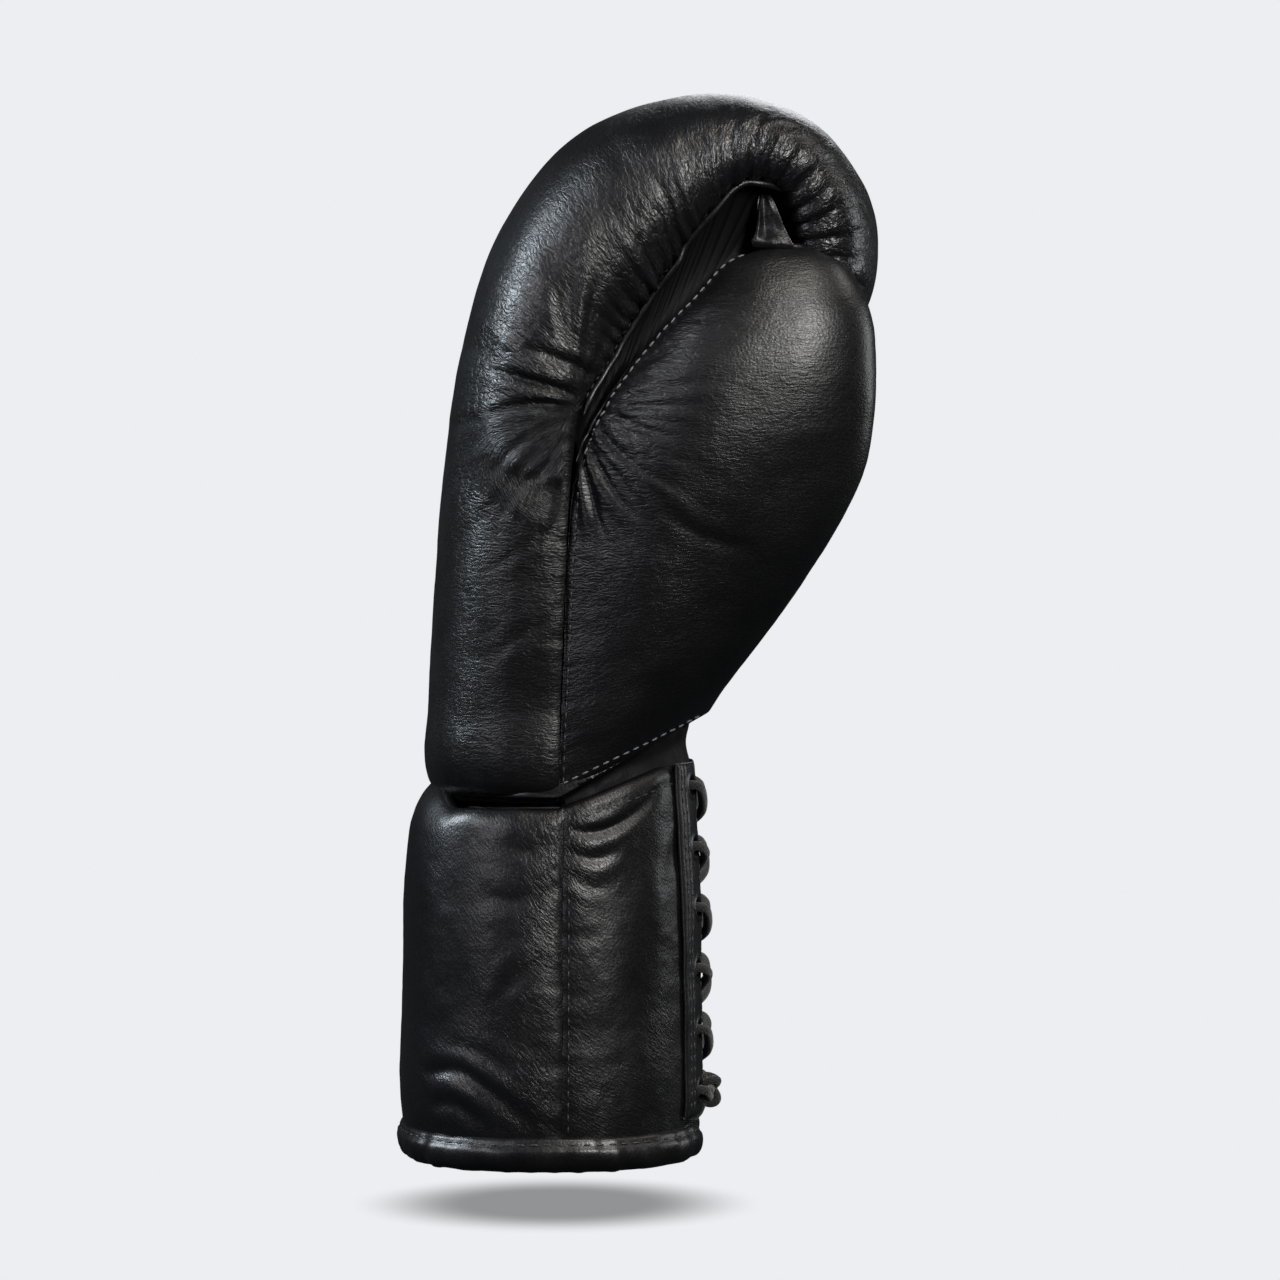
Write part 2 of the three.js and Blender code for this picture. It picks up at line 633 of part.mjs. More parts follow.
// The triangles of the largest body, without the crumbs that a cut leaves at a sharp corner.
function largestBody({ vertProperties, triVerts }) {
  const count = vertProperties.length / 3;
  const leader = Array.from({ length: count }, (_, i) => i);
  const find = (i) => {
    while (leader[i] !== i) i = leader[i] = leader[leader[i]];
    return i;
  };
  for (let k = 0; k < triVerts.length; k += 3) {
    leader[find(triVerts[k + 1])] = find(triVerts[k]);
    leader[find(triVerts[k + 2])] = find(triVerts[k]);
  }
  const sizes = new Map();
  const corner = (i) => new THREE.Vector3().fromArray(vertProperties, 3 * i);
  for (let k = 0; k < triVerts.length; k += 3) {
    const [a, b, c] = [0, 1, 2].map((m) => corner(triVerts[k + m]));
    const body = find(triVerts[k]);
    sizes.set(body, (sizes.get(body) ?? 0) + a.dot(b.cross(c)));
  }
  const [largest] = [...sizes].sort((a, b) => b[1] - a[1])[0];
  const kept = [];
  for (let k = 0; k < triVerts.length; k += 3) {
    if (find(triVerts[k]) === largest) kept.push(...triVerts.slice(k, k + 3));
  }
  return kept;
}

function add(name, made, material) {
  const data = made.getMesh();
  const geometry = new THREE.BufferGeometry();
  geometry.setAttribute("position", new THREE.BufferAttribute(data.vertProperties, 3));
  geometry.setIndex(largestBody(data));
  const mesh = new THREE.Mesh(mergeVertices(geometry, 1e-4), material);
  mesh.name = name;
  glove.add(mesh);
}

add("knuckle_shell", knuckleShell, leather);
add("knuckle_foam_outer", outerFoam, foam);
add("knuckle_foam_inner", innerFoam, foam);
add("palm_panel", palmPanel, leather);
add("palm_padding", palmPadding, foam);
add("grip_bar", gripBar, foam);
add("hand_liner", handLiner, satin);
add("heel_cover", heelCover, leather);
add("heel_foam", heelFoam, foam);
add("thumb_web", web, leather);
add("thumb_strap", strap, leather);
add("thumb_cover", thumbCover, leather);
add("thumb_foam", thumbFoam, foam);
add("thumb_liner", thumbLiner, satin);
add("cuff_back_panel", cuffBackPanel, leather);
add("cuff_back_foam", cuffBackFoam, foam);
for (const [name, sign] of [["thumb_side", -1], ["outer_side", 1]]) {
  add("cuff_panel_" + name, sidePanel(sign), leather);
  add("cuff_padding_" + name, sidePadding(sign), foam);
  add("lace_facing_" + name, facing(sign), leather);
  add("lace_tail_" + name, laceTail(sign), cotton);
  add("lace_tip_" + name, laceTip(sign), plastic);
}
add("tongue", tongue, leather);
add("cuff_liner", cuffLiner, satin);
add("cuff_binding", binding, leather);
add("wrist_gusset", wristGusset, leather);
add("wrist_crease_strip", creaseStrip, leather);
add("lace", lace, cotton);
add("lace_knot", knot, cotton);

export default glove;
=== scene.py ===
"""Looks of the lace-up boxing glove: leather, thread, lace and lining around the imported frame.

Shapes are worked out in millimetres about the cuff's middle, as the glove is designed, and
turned into the row frame, in metres, where meshes are made.
"""

import math

import bpy
import numpy as np
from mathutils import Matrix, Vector


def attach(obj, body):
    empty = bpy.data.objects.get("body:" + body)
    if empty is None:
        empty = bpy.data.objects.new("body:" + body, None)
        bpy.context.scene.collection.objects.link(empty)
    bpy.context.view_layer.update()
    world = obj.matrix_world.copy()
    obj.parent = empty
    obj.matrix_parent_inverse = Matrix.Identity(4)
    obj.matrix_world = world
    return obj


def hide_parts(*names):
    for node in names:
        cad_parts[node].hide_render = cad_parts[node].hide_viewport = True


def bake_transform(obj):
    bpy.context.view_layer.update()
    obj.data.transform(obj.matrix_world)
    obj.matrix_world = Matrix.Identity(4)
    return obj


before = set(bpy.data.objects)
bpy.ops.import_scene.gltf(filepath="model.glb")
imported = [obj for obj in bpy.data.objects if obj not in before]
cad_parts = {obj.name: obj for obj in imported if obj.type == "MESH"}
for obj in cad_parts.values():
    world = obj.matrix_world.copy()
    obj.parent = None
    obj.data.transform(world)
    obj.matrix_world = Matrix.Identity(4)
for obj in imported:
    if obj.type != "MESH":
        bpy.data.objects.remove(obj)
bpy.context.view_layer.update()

# ------------------------------------------------------------------ driving dimensions, in mm

CENTRE = np.array([24.4, -0.4, 0.0])  # the row frame's origin
ROUND = 2 / 2.4  # exponent of the padded sections
FLARE = math.radians(16)  # how much less the finger end tucks under on the thumb's side
PALM_WALL = 5.0
PINKY_WRAP = 8.0
FIST_FLOOR = 107.5
FIST_SLOPE, CUFF_SLOPE = 0.561, 0.341  # how the two rise from the wrist's axis to the palm side
CUFF_LOFT_TOP = 133.0
THROAT = 12.0
FACING_EDGE = 30.0
WEB_LIFT = 4.5  # how far the gathered edge is drawn back from the web
CORNER_X, CORNER_Z = 6, 219  # the web's lower end, which the folds fan out from
EYELET_Y, EYELET_ROWS, EYELET_TOP, EYELET_PITCH = 20.0, 6, 110.0, 18.0
LACE_RADIUS = 1.4
GROOVE_Z = 8.2  # where the binding is sewn

RIDGE = [
    (-36, 107.5), (-38.6, 118), (-38.2, 137), (-36.4, 166), (-33.4, 201), (-28, 240),
    (-17.6, 273), (3, 300), (30, 312.3), (57, 313), (79, 303.5), (93, 285),
    (96, 267), (92.5, 251), (83, 242.5), (73, 245),
]  # fmt: skip
SEAM = [
    (2, 107.5), (2.1, 118), (2.7, 137), (3.8, 164), (5.5, 193), (9, 217),
    (20, 235), (33, 251), (43, 266), (52, 278), (60, 279.5), (67, 273),
    (70.5, 266), (72, 259.5), (73, 255), (73.5, 251),
]  # fmt: skip
HOOK_WIDTH = [
    (47, 97, 47), (50, 98, 50), (52, 99, 52), (56, 101, 55.5), (61, 105, 60), (66, 118, 65),
    (68, 130, 68), (68, 132, 69), (67, 132, 69), (65, 132, 68), (61, 132, 67), (55, 131, 66),
    (50, 128, 64), (47, 122, 62), (45, 114, 59), (43, 105, 56),
]  # fmt: skip
HAND_LINE = [
    (0.5, -8, 0), (0.5, 28, 0), (0.5, 70, 0), (1.5, 105, 0), (5, 130, 2), (8, 160, 4),
    (11, 190, 10), (18, 214, 26), (31, 238, 48), (45, 253, 68), (57, 259, 82), (66, 260, 88),
]  # fmt: skip
HAND_HALF = [
    (32, 46), (32, 45.5), (31.5, 44.5), (30, 43), (25.5, 42), (20, 43),
    (18, 44), (17, 44.5), (16.5, 44), (16, 43), (14.5, 41), (8, 36),
]  # fmt: skip
THUMB_SPACE = [
    (14, -26, 146), (24, -36, 166), (38, -43, 188), (54, -46, 212), (67, -48, 234), (72, -48, 246),
]  # fmt: skip
THUMB_BACK = [
    (2, 107.5, -47.3), (2.6, 125, -50.3), (3.6, 150, -53), (4.8, 180, -56.2), (7.5, 204, -57.8),
    (15, 221, -56), (26, 235.5, -53.5), (39, 249.5, -51.5), (48.5, 260, -50), (58, 265, -50),
]  # fmt: skip
THUMB_FRONT = [
    (43, 130.5, -22), (52, 142, -30), (65, 159.5, -37), (78, 179, -42), (88.6, 199, -45),
    (92.3, 217, -47), (92.8, 234, -48), (91, 248, -48), (84.5, 260, -48), (74, 265.5, -48),
]  # fmt: skip
THUMB_SWELL = [
    (7, 14), (10, 20), (12, 24), (14.5, 24), (17.5, 23), (19.5, 22), (20, 20), (18, 18), (12, 12), (5, 5),
]  # fmt: skip
CUFF_SIZE = [
    (-1.4, 43, 50.5), (-1.6, 44.1, 52), (-1.4, 43.7, 52), (-1.4, 43.5, 51.5), (-1.3, 43.3, 50.5),
    (-1.1, 42.2, 49.3), (-0.3, 40.6, 48.5), (0.1, 40, 48),
]  # fmt: skip

# ------------------------------------------------------------------ numbers


def row(points):
    """Design millimetres to row-frame metres."""
    return (np.asarray(points, float) - CENTRE) / 1000


def catmull(rows, t):
    """Points of the smooth curve through rows, at shares t from 0 to 1 of the rows' count."""
    p = np.asarray(rows, float)
    x = np.clip(np.asarray(t, float), 0, 1) * (len(p) - 1)
    i = np.minimum(x.astype(int), len(p) - 2)
    f = (x - i)[..., None]
    ends = np.vstack([2 * p[0] - p[1], p, 2 * p[-1] - p[-2]])
    a, b, c, d = ends[i], ends[i + 1], ends[i + 2], ends[i + 3]
    u, v = (c - a) / 2, (d - b) / 2
    return b + u * f + (3 * (c - b) - 2 * u - v) * f**2 + (2 * (b - c) + u + v) * f**3


def power(x, e):
    return np.sign(x) * np.abs(x) ** e


def smooth(low, high, x):
    t = np.clip((x - low) / (high - low), 0, 1)
    return t * t * (3 - 2 * t)


def window(rise, fall, x):
    """1 between a smooth rise over one range and a smooth fall over another."""
    return smooth(*rise, x) * (1 - smooth(*fall, x))


def bell(x, middle, width):
    return np.exp(-(((x - middle) / width) ** 2))


def nearest(values, wanted):
    return int(np.argmin(np.abs(values - wanted)))


def held(values, rows=(0, 0), columns=(0, 0)):
    """A grid made larger by repeating its edges."""
    return np.pad(values, (rows, columns) + ((0, 0),) * (values.ndim - 2), mode="edge")


def closing(ring, steps):
    """Rings that shrink to the middle of the last one."""
    middle = ring.mean(0)
    return [middle + (ring - middle) * (1 - k / steps) for k in range(1, steps + 1)]


def at_shares(shares, of, points):
    """Points of a polyline at the given shares, of being the polyline's own shares."""
    return np.stack([np.interp(shares, of, points[:, k]) for k in range(3)], 1)


def noise(x, y, seed):
    """Smooth noise from -1 to 1 over a plane whose cells are 1 wide."""
    table = np.random.default_rng(seed).uniform(-1, 1, (128, 128))
    x, y = np.broadcast_arrays(np.asarray(x, float), np.asarray(y, float))
    i, j = np.floor(x).astype(int), np.floor(y).astype(int)
    fx, fy = smooth(0, 1, x - i), smooth(0, 1, y - j)
    low = table[i % 128, j % 128] * (1 - fx) + table[(i + 1) % 128, j % 128] * fx
    high = table[i % 128, (j + 1) % 128] * (1 - fx) + table[(i + 1) % 128, (j + 1) % 128] * fx
    return low * (1 - fy) + high * fy


def along(points, axis):
    """Distance run along an axis of a grid of points, from its first row or column."""
    step = np.linalg.norm(np.diff(points, axis=axis), axis=-1)
    start = np.zeros_like(np.take(step, [0], axis=axis))
    return np.concatenate([start, np.cumsum(step, axis=axis)], axis=axis)


def facing_out(points, core):
    """Unit normals of a grid of points, turned away from core."""
    n = np.cross(np.gradient(points, axis=0), np.gradient(points, axis=1))
    n /= np.linalg.norm(n, axis=-1, keepdims=True) + 1e-9
    return n if np.mean(np.sum(n * (points - core), -1)) > 0 else -n


def even(rows_of_curve, count):
    """Shares that space points evenly along a curve, given as a function of the share."""
    t = np.linspace(0, 1, 2000)
    length = along(rows_of_curve(t), 0)
    return np.interp(np.linspace(0, length[-1], count), length, t)


# ------------------------------------------------------------------ folds in the leather


def gathers(s, q, span, spacing, reach, height, seed, fade=8):
    """Folds thrown up by a gathered seam. s runs along the seam and q away from it."""
    rng = np.random.default_rng(seed)
    tall, far = rng.uniform(0.45, 1.0, 512), rng.uniform(0.55, 1.3, 512)
    bent = s + 0.35 * spacing * noise(s / (2.3 * spacing), q / (1.8 * spacing), seed + 1)
    bent = bent + 0.5 * spacing * noise(s / (6 * spacing), 0.5, seed + 2)
    phase = bent / spacing + 200
    k = np.floor(phase).astype(int)
    fold = np.sin(np.pi * (phase - k)) ** 0.75
    fall = np.exp(-((np.maximum(q, 0) / (reach * far[k % 512])) ** 1.7))
    pinch = 0.7 + 0.3 * smooth(0, 0.3 * reach, q)
    low, high = span
    within = window((low - fade, low + fade), (high - fade, high + fade), s)
    return height * tall[k % 512] * fold * fall * pinch * within


def crease(x, z, path, depth, width):
    """A crease from use along a path of (x, z), with a low swelling beside it, tapered at its ends; the
    leather's tone darkens its hollow as painted shade.
    """
    path = rounded(path, 14)
    steps = np.linalg.norm(np.diff(path, axis=0), axis=1)
    total = steps.sum()
    best, at = np.full(x.shape, 1e9), np.zeros(x.shape)
    run = 0.0
    for (ax, az), (bx, bz), length in zip(path[:-1], path[1:], steps):
        share = ((x - ax) * (bx - ax) + (z - az) * (bz - az)) / length**2
        share = np.clip(share, 0, 1)
        gap = np.hypot(x - ax - share * (bx - ax), z - az - share * (bz - az))
        nearer = gap < best
        at = np.where(nearer, (run + share * length) / total, at)
        best = np.where(nearer, gap, best)
        run += length
    taper = np.sin(np.pi * np.clip(at, 0, 1) ** 0.8) ** 0.7
    dip = 0.42 * bell(best, 2.1 * width, 1.3 * width) - bell(best, 0, width)
    return depth * taper * dip


def crinkle(s, q, amount, seed):
    """Low soft waves that padded leather always has."""
    waves = ((0.60, 31, 26), (0.30, 13, 15), (0.14, 5.2, 7.1), (0.07, 2.4, 3.1))
    return amount * sum(
        share * noise(s / long, q / wide, seed + k) for k, (share, long, wide) in enumerate(waves)
    )


# ------------------------------------------------------------------ meshes


def mesh_object(name, vertices, faces, uvs=None, relief=None, crepe=None):
    """A smooth-shaded object from row-frame points, with a UV pair, relief and crepe for each."""
    mesh = bpy.data.meshes.new(name)
    faces = np.asarray(faces)
    mesh.vertices.add(len(vertices))
    mesh.vertices.foreach_set("co", np.asarray(vertices, np.float32).ravel())
    mesh.loops.add(faces.size)
    mesh.loops.foreach_set("vertex_index", faces.astype(np.int32).ravel())
    mesh.polygons.add(len(faces))
    starts = np.arange(0, faces.size, faces.shape[1], dtype=np.int32)
    mesh.polygons.foreach_set("loop_start", starts)
    mesh.update(calc_edges=True)
    mesh.validate()
    mesh.polygons.foreach_set("use_smooth", np.ones(len(mesh.polygons), bool))
    if uvs is not None:
        layer = mesh.uv_layers.new(name="UVMap")
        picked = np.asarray(uvs, np.float32)[faces.ravel()]
        layer.data.foreach_set("uv", picked.ravel())
    for label, values in (("relief", relief), ("crepe", crepe)):
        values = np.zeros(len(vertices)) if values is None else values
        layer = mesh.attributes.new(label, "FLOAT", "POINT")
        layer.data.foreach_set("value", np.asarray(values, np.float32).ravel())
    made = bpy.data.objects.new(name, mesh)
    bpy.context.scene.collection.objects.link(made)
    return made


def grid_faces(rows, columns, flip=False):
    index = np.arange(rows * columns).reshape(rows, columns)
    corners = [index[:-1, :-1], index[1:, :-1], index[1:, 1:], index[:-1, 1:]]
    quads = np.stack(corners[::-1] if flip else corners, -1)
    return quads.reshape(-1, 4)


def grid_object(name, points, core, relief=None, uvs=None, crepe=None):
    """A panel over a grid of design points, its faces turned away from core."""
    n = np.cross(np.gradient(points, axis=0), np.gradient(points, axis=1))
    flip = np.mean(np.sum(n * (points - core), -1)) < 0
    if uvs is None:
        s, q = along(points, 0), along(points, 1)
        uvs = np.stack([s, q], -1)
    faces = grid_faces(*points.shape[:2], flip=flip)
    return mesh_object(name, row(points.reshape(-1, 3)), faces, uvs.reshape(-1, 2) / 1000, relief, crepe)


def thicken(made, millimetres, bevel=0.0):
    """Gives an open panel the thickness of its leather, behind its face."""
    solid = made.modifiers.new("thickness", "SOLIDIFY")
    solid.thickness = millimetres / 1000
    solid.offset = -1
    if bevel:
        edge = made.modifiers.new("edge", "BEVEL")
        edge.width, edge.segments = bevel / 1000, 2
        edge.limit_method = "ANGLE"
    return made


def tube_points(path, radius, sides):
    """Rings of a round cord along path, with no twist. radius may be one for each point."""
    path = np.asarray(path, float)
    ahead = np.gradient(path, axis=0)
    ahead /= np.linalg.norm(ahead, axis=1, keepdims=True) + 1e-9
    side = np.cross([0.31, 0.17, 0.93], ahead[0])
    turn = np.linspace(0, 2 * np.pi, sides + 1)
    rings = []
    for point, way, r in zip(path, ahead, np.broadcast_to(radius, len(path))):
        side = side - way * np.dot(side, way)
        side /= np.linalg.norm(side)
        up = np.cross(way, side)
        rings.append(point + r * (np.outer(np.cos(turn), side) + np.outer(np.sin(turn), up)))
    return np.array(rings)


def tube_object(name, path, radius, sides=10):
    path = np.asarray(path, float)
    middle = path[:, None, :]
    ends = np.broadcast_to(radius, len(path)).astype(float)
    first, last = path[0], path[-1]
    path = np.vstack([first, path, last])
    radii = np.concatenate([[0.05], ends, [0.05]])
    ahead = np.gradient(path[1:-1], axis=0)
    path[0] -= 0.3 * ahead[0] / (np.linalg.norm(ahead[0]) + 1e-9)
    path[-1] += 0.3 * ahead[-1] / (np.linalg.norm(ahead[-1]) + 1e-9)
    rings = tube_points(path, radii, sides)
    core = np.concatenate([middle[:1], middle, middle[-1:]])
    s = along(path, 0)[:, None] * np.ones(sides + 1)
    q = np.linspace(0, 2 * np.pi * ends.mean(), sides + 1) * np.ones((len(path), 1))
    return grid_object(name, rings, core, uvs=np.stack([s, q], -1))


def rounded(points, count):
    """A polyline made into a smooth curve of count points."""
    points = np.asarray(points, float)
    t = even(lambda x: catmull(points, x), count)
    return catmull(points, t)


# ------------------------------------------------------------------ thread


def stitch_template(around=6, rings=5):
    a = np.linspace(0, 2 * np.pi, around, endpoint=False)
    verts = []
    for k in range(rings):
        x = -1 + 2 * k / (rings - 1)
        r = max(1 - x**4, 0) ** 0.5 * 0.98 + 0.02
        verts += [(x, r * math.cos(t), r * math.sin(t)) for t in a]
    faces = []
    for k in range(rings - 1):
        for i in range(around):
            j = (i + 1) % around
            faces.append((k * around + i, k * around + j, (k + 1) * around + j, (k + 1) * around + i))
    return np.array(verts), np.array(faces)


STITCH = stitch_template()


def stitches(name, path, up, length=2.3, gap=1.1, radius=0.3, lift=0.1, yarn=None):
    """A row of thread stitches along a path of design points, with the surface's normals up."""
    path, up = np.asarray(path, float), np.asarray(up, float)
    run = along(path, 0)
    count = max(int(run[-1] // (length + gap)), 1)
    at = (np.arange(count) + 0.5) * run[-1] / count
    ends = [at_shares(at + e, run, path) for e in (-length / 2, length / 2)]
    normal = at_shares(at, run, up)
    normal /= np.linalg.norm(normal, axis=1, keepdims=True)
    middle = (ends[0] + ends[1]) / 2 + normal * lift
    way = ends[1] - ends[0]
    way /= np.linalg.norm(way, axis=1, keepdims=True) + 1e-9
    side = np.cross(way, normal)
    side /= np.linalg.norm(side, axis=1, keepdims=True) + 1e-9
    v, f = STITCH
    points = (
        middle[:, None]
        + way[:, None] * (v[None, :, :1] * length / 2)
        + side[:, None] * (v[None, :, 1:2] * radius)
        + normal[:, None] * (v[None, :, 2:] * radius)
    )
    faces = f[None] + (np.arange(count) * len(v))[:, None, None]
    points = row(points.reshape(-1, 3))
    made = mesh_object(name, points, faces.reshape(-1, 4), np.zeros((len(points), 2)))
    return finish(made, yarn or thread_dark)


# ------------------------------------------------------------------ materials


def node(tree, kind, **inputs):
    """A node; each input is a value or the socket it is linked from, and _name is a property."""
    made = tree.nodes.new(kind)
    for key, value in inputs.items():
        if key.startswith("_"):
            setattr(made, key[1:], value)
        else:
            wire(tree, value, made.inputs[key.replace("_", " ")])
    return made


def wire(tree, value, slot):
    if isinstance(value, bpy.types.NodeSocket):
        tree.links.new(value, slot)
    else:
        slot.default_value = value


def ramp(tree, source, stops):
    """A value moved from the range of the first two stops to that of the last two."""
    named = dict(zip(("From_Min", "From_Max", "To_Min", "To_Max"), stops))
    return node(tree, "ShaderNodeMapRange", **named, Value=source).outputs["Result"]


def math_node(tree, operation, a, b):
    made = node(tree, "ShaderNodeMath", _operation=operation)
    wire(tree, a, made.inputs[0])
    wire(tree, b, made.inputs[1])
    return made.outputs[0]


def tone_between(tree, factor, dark, light):
    tones = dict(A=(*dark, 1), B=(*light, 1))
    return node(tree, "ShaderNodeMix", _data_type="RGBA", **tones, Factor=factor).outputs["Result"]


def noise_texture(tree, scale, detail=2.0):
    """Noise over the piece's own coordinates."""
    place = tree.nodes.new("ShaderNodeTexCoord").outputs["Object"]
    return node(tree, "ShaderNodeTexNoise", Vector=place, Scale=scale, Detail=detail)


def new_material(name, roughness, specular=0.5):
    made = bpy.data.materials.new(name)
    made.use_nodes = True
    tree = made.node_tree
    shader = tree.nodes["Principled BSDF"]
    shader.inputs["Roughness"].default_value = roughness
    shader.inputs["Specular IOR Level"].default_value = specular
    return made, tree, shader


def surface_bump(tree, shader, height, millimetres):
    bump = node(tree, "ShaderNodeBump", Strength=1.0, Distance=millimetres / 1000, Height=height)
    tree.links.new(bump.outputs["Normal"], shader.inputs["Normal"])


def leather(name, tint, roughness, grain=1.0, crinkled=1.0, specular=0.5):
    """Black hide: pebbled grain, crepe lines across each panel's UVs, and a tone from the relief: lighter on
    raised folds as wear, darker in the hollows of folds, creases and seams as painted shade.
    """
    made, tree, shader = new_material(name, roughness, specular)
    place = tree.nodes.new("ShaderNodeTexCoord").outputs["Object"]
    patches = noise_texture(tree, 42.0, 3.0).outputs["Fac"]
    shaken = node(tree, "ShaderNodeVectorMath", _operation="MULTIPLY_ADD")
    wire(tree, noise_texture(tree, 300.0).outputs["Color"], shaken.inputs[0])
    wire(tree, (0.0022, 0.0022, 0.0022), shaken.inputs[1])
    wire(tree, tree.nodes.new("ShaderNodeUVMap").outputs["UV"], shaken.inputs[2])

    def plus(a, b):
        return math_node(tree, "ADD", a, b)

    def times(a, b):
        return math_node(tree, "MULTIPLY", a, b)

    def painted(label):
        return node(tree, "ShaderNodeAttribute", _attribute_name=label).outputs["Fac"]

    def lines(across, lengthwise, shift):
        """Long thin wrinkles that many cells squeezed along U leave between them."""
        sizes = dict(Location=(shift, 0, 0), Scale=(1000 / across, 1000 / lengthwise, 1))
        squeeze = node(tree, "ShaderNodeMapping", **sizes, Vector=shaken.outputs[0])
        cells = node(tree, "ShaderNodeTexVoronoi", _feature="DISTANCE_TO_EDGE", Scale=1.0)
        tree.links.new(squeeze.outputs["Vector"], cells.inputs["Vector"])
        return math_node(tree, "POWER", ramp(tree, cells.outputs["Distance"], (0.0, 0.35, 0.0, 1.0)), 0.5)

    crepe = times(painted("crepe"), ramp(tree, patches, (0.38, 0.6, 0.55, 1.15)))
    wrinkles = plus(lines(1.15, 5.5, 0.0), times(lines(0.62, 3.0, 7.3), 0.5))
    pebbles = node(tree, "ShaderNodeTexVoronoi", _feature="SMOOTH_F1", Scale=1000 / 0.8, Smoothness=0.4)
    tree.links.new(place, pebbles.inputs["Vector"])
    pebbles = pebbles.outputs["Distance"]
    pores = noise_texture(tree, 2100.0).outputs["Fac"]
    height = plus(times(pebbles, -0.32 * grain), times(pores, 0.16 * grain))
    surface_bump(tree, shader, plus(height, times(times(wrinkles, crepe), crinkled)), 0.15)
    # Painted shade: the relief darkens the hollows of folds, creases and seams, while raised folds get
    # lighter as wear.
    wear_and_fold_shade = ramp(tree, painted("relief"), (-0.9, 1.4, 0.0, 1.0))
    wear_and_fold_shade = times(wear_and_fold_shade, ramp(tree, patches, (0.3, 0.7, 0.7, 1.2)))
    colour = tone_between(tree, wear_and_fold_shade, [c * 0.5 for c in tint], [c * 1.6 for c in tint])
    tree.links.new(colour, shader.inputs["Base Color"])
    rough = ramp(tree, patches, (0.3, 0.7, roughness - 0.05, roughness + 0.05))
    rough = plus(rough, ramp(tree, wear_and_fold_shade, (0.0, 1.0, 0.06, -0.05)))
    rough = plus(rough, ramp(tree, pebbles, (0.2, 0.7, -0.02, 0.05)))
    tree.links.new(rough, shader.inputs["Roughness"])
    return made


def woven(name, tint, pitch_mm, roughness, depth):
    """Cloth or braid whose threads cross at 45 degrees to the piece's own lengthwise UVs."""
    made, tree, shader = new_material(name, roughness, 0.3)
    shader.inputs["Sheen Weight"].default_value = 0.25
    shader.inputs["Sheen Roughness"].default_value = 0.5
    uv = tree.nodes.new("ShaderNodeUVMap").outputs["UV"]
    waves = []
    for angle in (45, -45):
        sizes = dict(Rotation=(0, 0, math.radians(angle)), Scale=(1000 / pitch_mm,) * 3)
        turn = node(tree, "ShaderNodeMapping", **sizes, Vector=uv).outputs["Vector"]
        wave = node(tree, "ShaderNodeTexWave", Scale=0.32, Distortion=0.5, Vector=turn)
        waves.append(wave.outputs["Fac"])
    height = math_node(tree, "MAXIMUM", *waves)
    surface_bump(tree, shader, height, depth)
    colour = tone_between(tree, height, [c * 0.5 for c in tint], [c * 1.3 for c in tint])
    tree.links.new(colour, shader.inputs["Base Color"])
    return made


def sewing_thread(name, dark, light):
    made, tree, shader = new_material(name, 0.42)
    fuzz = noise_texture(tree, 2500.0).outputs["Fac"]
    colour = tone_between(tree, fuzz, (dark, dark, dark * 1.1), (light, light, light * 1.1))
    tree.links.new(colour, shader.inputs["Base Color"])
    surface_bump(tree, shader, fuzz, 0.08)
    return made


def plastic(name, grey):
    made, tree, shader = new_material(name, 0.22)
    dents = noise_texture(tree, 700.0).outputs["Fac"]
    shader.inputs["Base Color"].default_value = (grey, grey, grey, 1)
    tree.links.new(ramp(tree, dents, (0.3, 0.7, 0.18, 0.32)), shader.inputs["Roughness"])
    surface_bump(tree, shader, dents, 0.03)
    return made


HIDE = (0.0038, 0.0039, 0.0045)
hide_fist = leather("hide_fist", HIDE, 0.33)
hide_cuff = leather("hide_cuff", HIDE, 0.33, 0.85, 0.8, specular=0.4)
# Smoother, duller leather for the web and the wrist crease; its darker tint is painted shade, as both lie in
# shadow.
hide_web = leather("hide_web", (0.003, 0.003, 0.0034), 0.55, 0.5, 0.3, specular=0.18)
hide_trim = leather("hide_trim", HIDE, 0.33, 0.7, 0.8)
lining = woven("lining", (0.014, 0.014, 0.017), 0.5, 0.55, 0.05)
braid = woven("braid", (0.012, 0.012, 0.012), 0.9, 0.75, 0.16)
# Lighter than the black thread it stands for: its tone is a painted glint, used on the thumb's stitches.
thread = sewing_thread("thread", 0.05, 0.22)
thread_dark = sewing_thread("thread_dark", 0.010, 0.04)
tip_plastic = plastic("tip_plastic", 0.012)


def finish(made, material, body=None, replaces=()):
    made.data.materials.append(material)
    if body:
        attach(made, body)
    if replaces:
        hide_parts(*replaces)
    return made


def bend_thumb(made):
    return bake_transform(made)


# ------------------------------------------------------------------ the knuckle leather


def hook_grid(t, v):
    """The padded hook's surface: t along it, v from the thumb side's seam (-1) to the other (1)."""
    ridge, edge = catmull(RIDGE, t), catmull(SEAM, t)
    wide = catmull(HOOK_WIDTH, t)
    inward = edge - ridge
    depth = np.linalg.norm(inward, axis=1)
    inward = inward / depth[:, None]
    far = np.radians(wide[:, 1])
    near = far - FLARE * smooth(0.36, 0.64, t)
    last = np.where(v < 0, near[:, None], far[:, None])
    lowest = 1 - power(np.cos(last), ROUND)
    turn = last * v[None, :]
    half = np.where(v < 0, wide[:, :1], wide[:, 2:])
    wrap = np.where(v > 0, 1 + (PINKY_WRAP / depth * np.minimum(depth / 40, 1))[:, None], 1)
    down = depth[:, None] * wrap * (1 - power(np.cos(turn), ROUND)) / lowest
    lift = WEB_LIFT * window((0.34, 0.46), (0.66, 0.8), t)
    down = np.where(v < 0, down * (1 - (lift / depth)[:, None]), down)
    x = ridge[:, :1] + inward[:, :1] * down
    z = ridge[:, 1:] + inward[:, 1:] * down
    return np.stack([x, half * power(np.sin(turn), ROUND), z], -1)


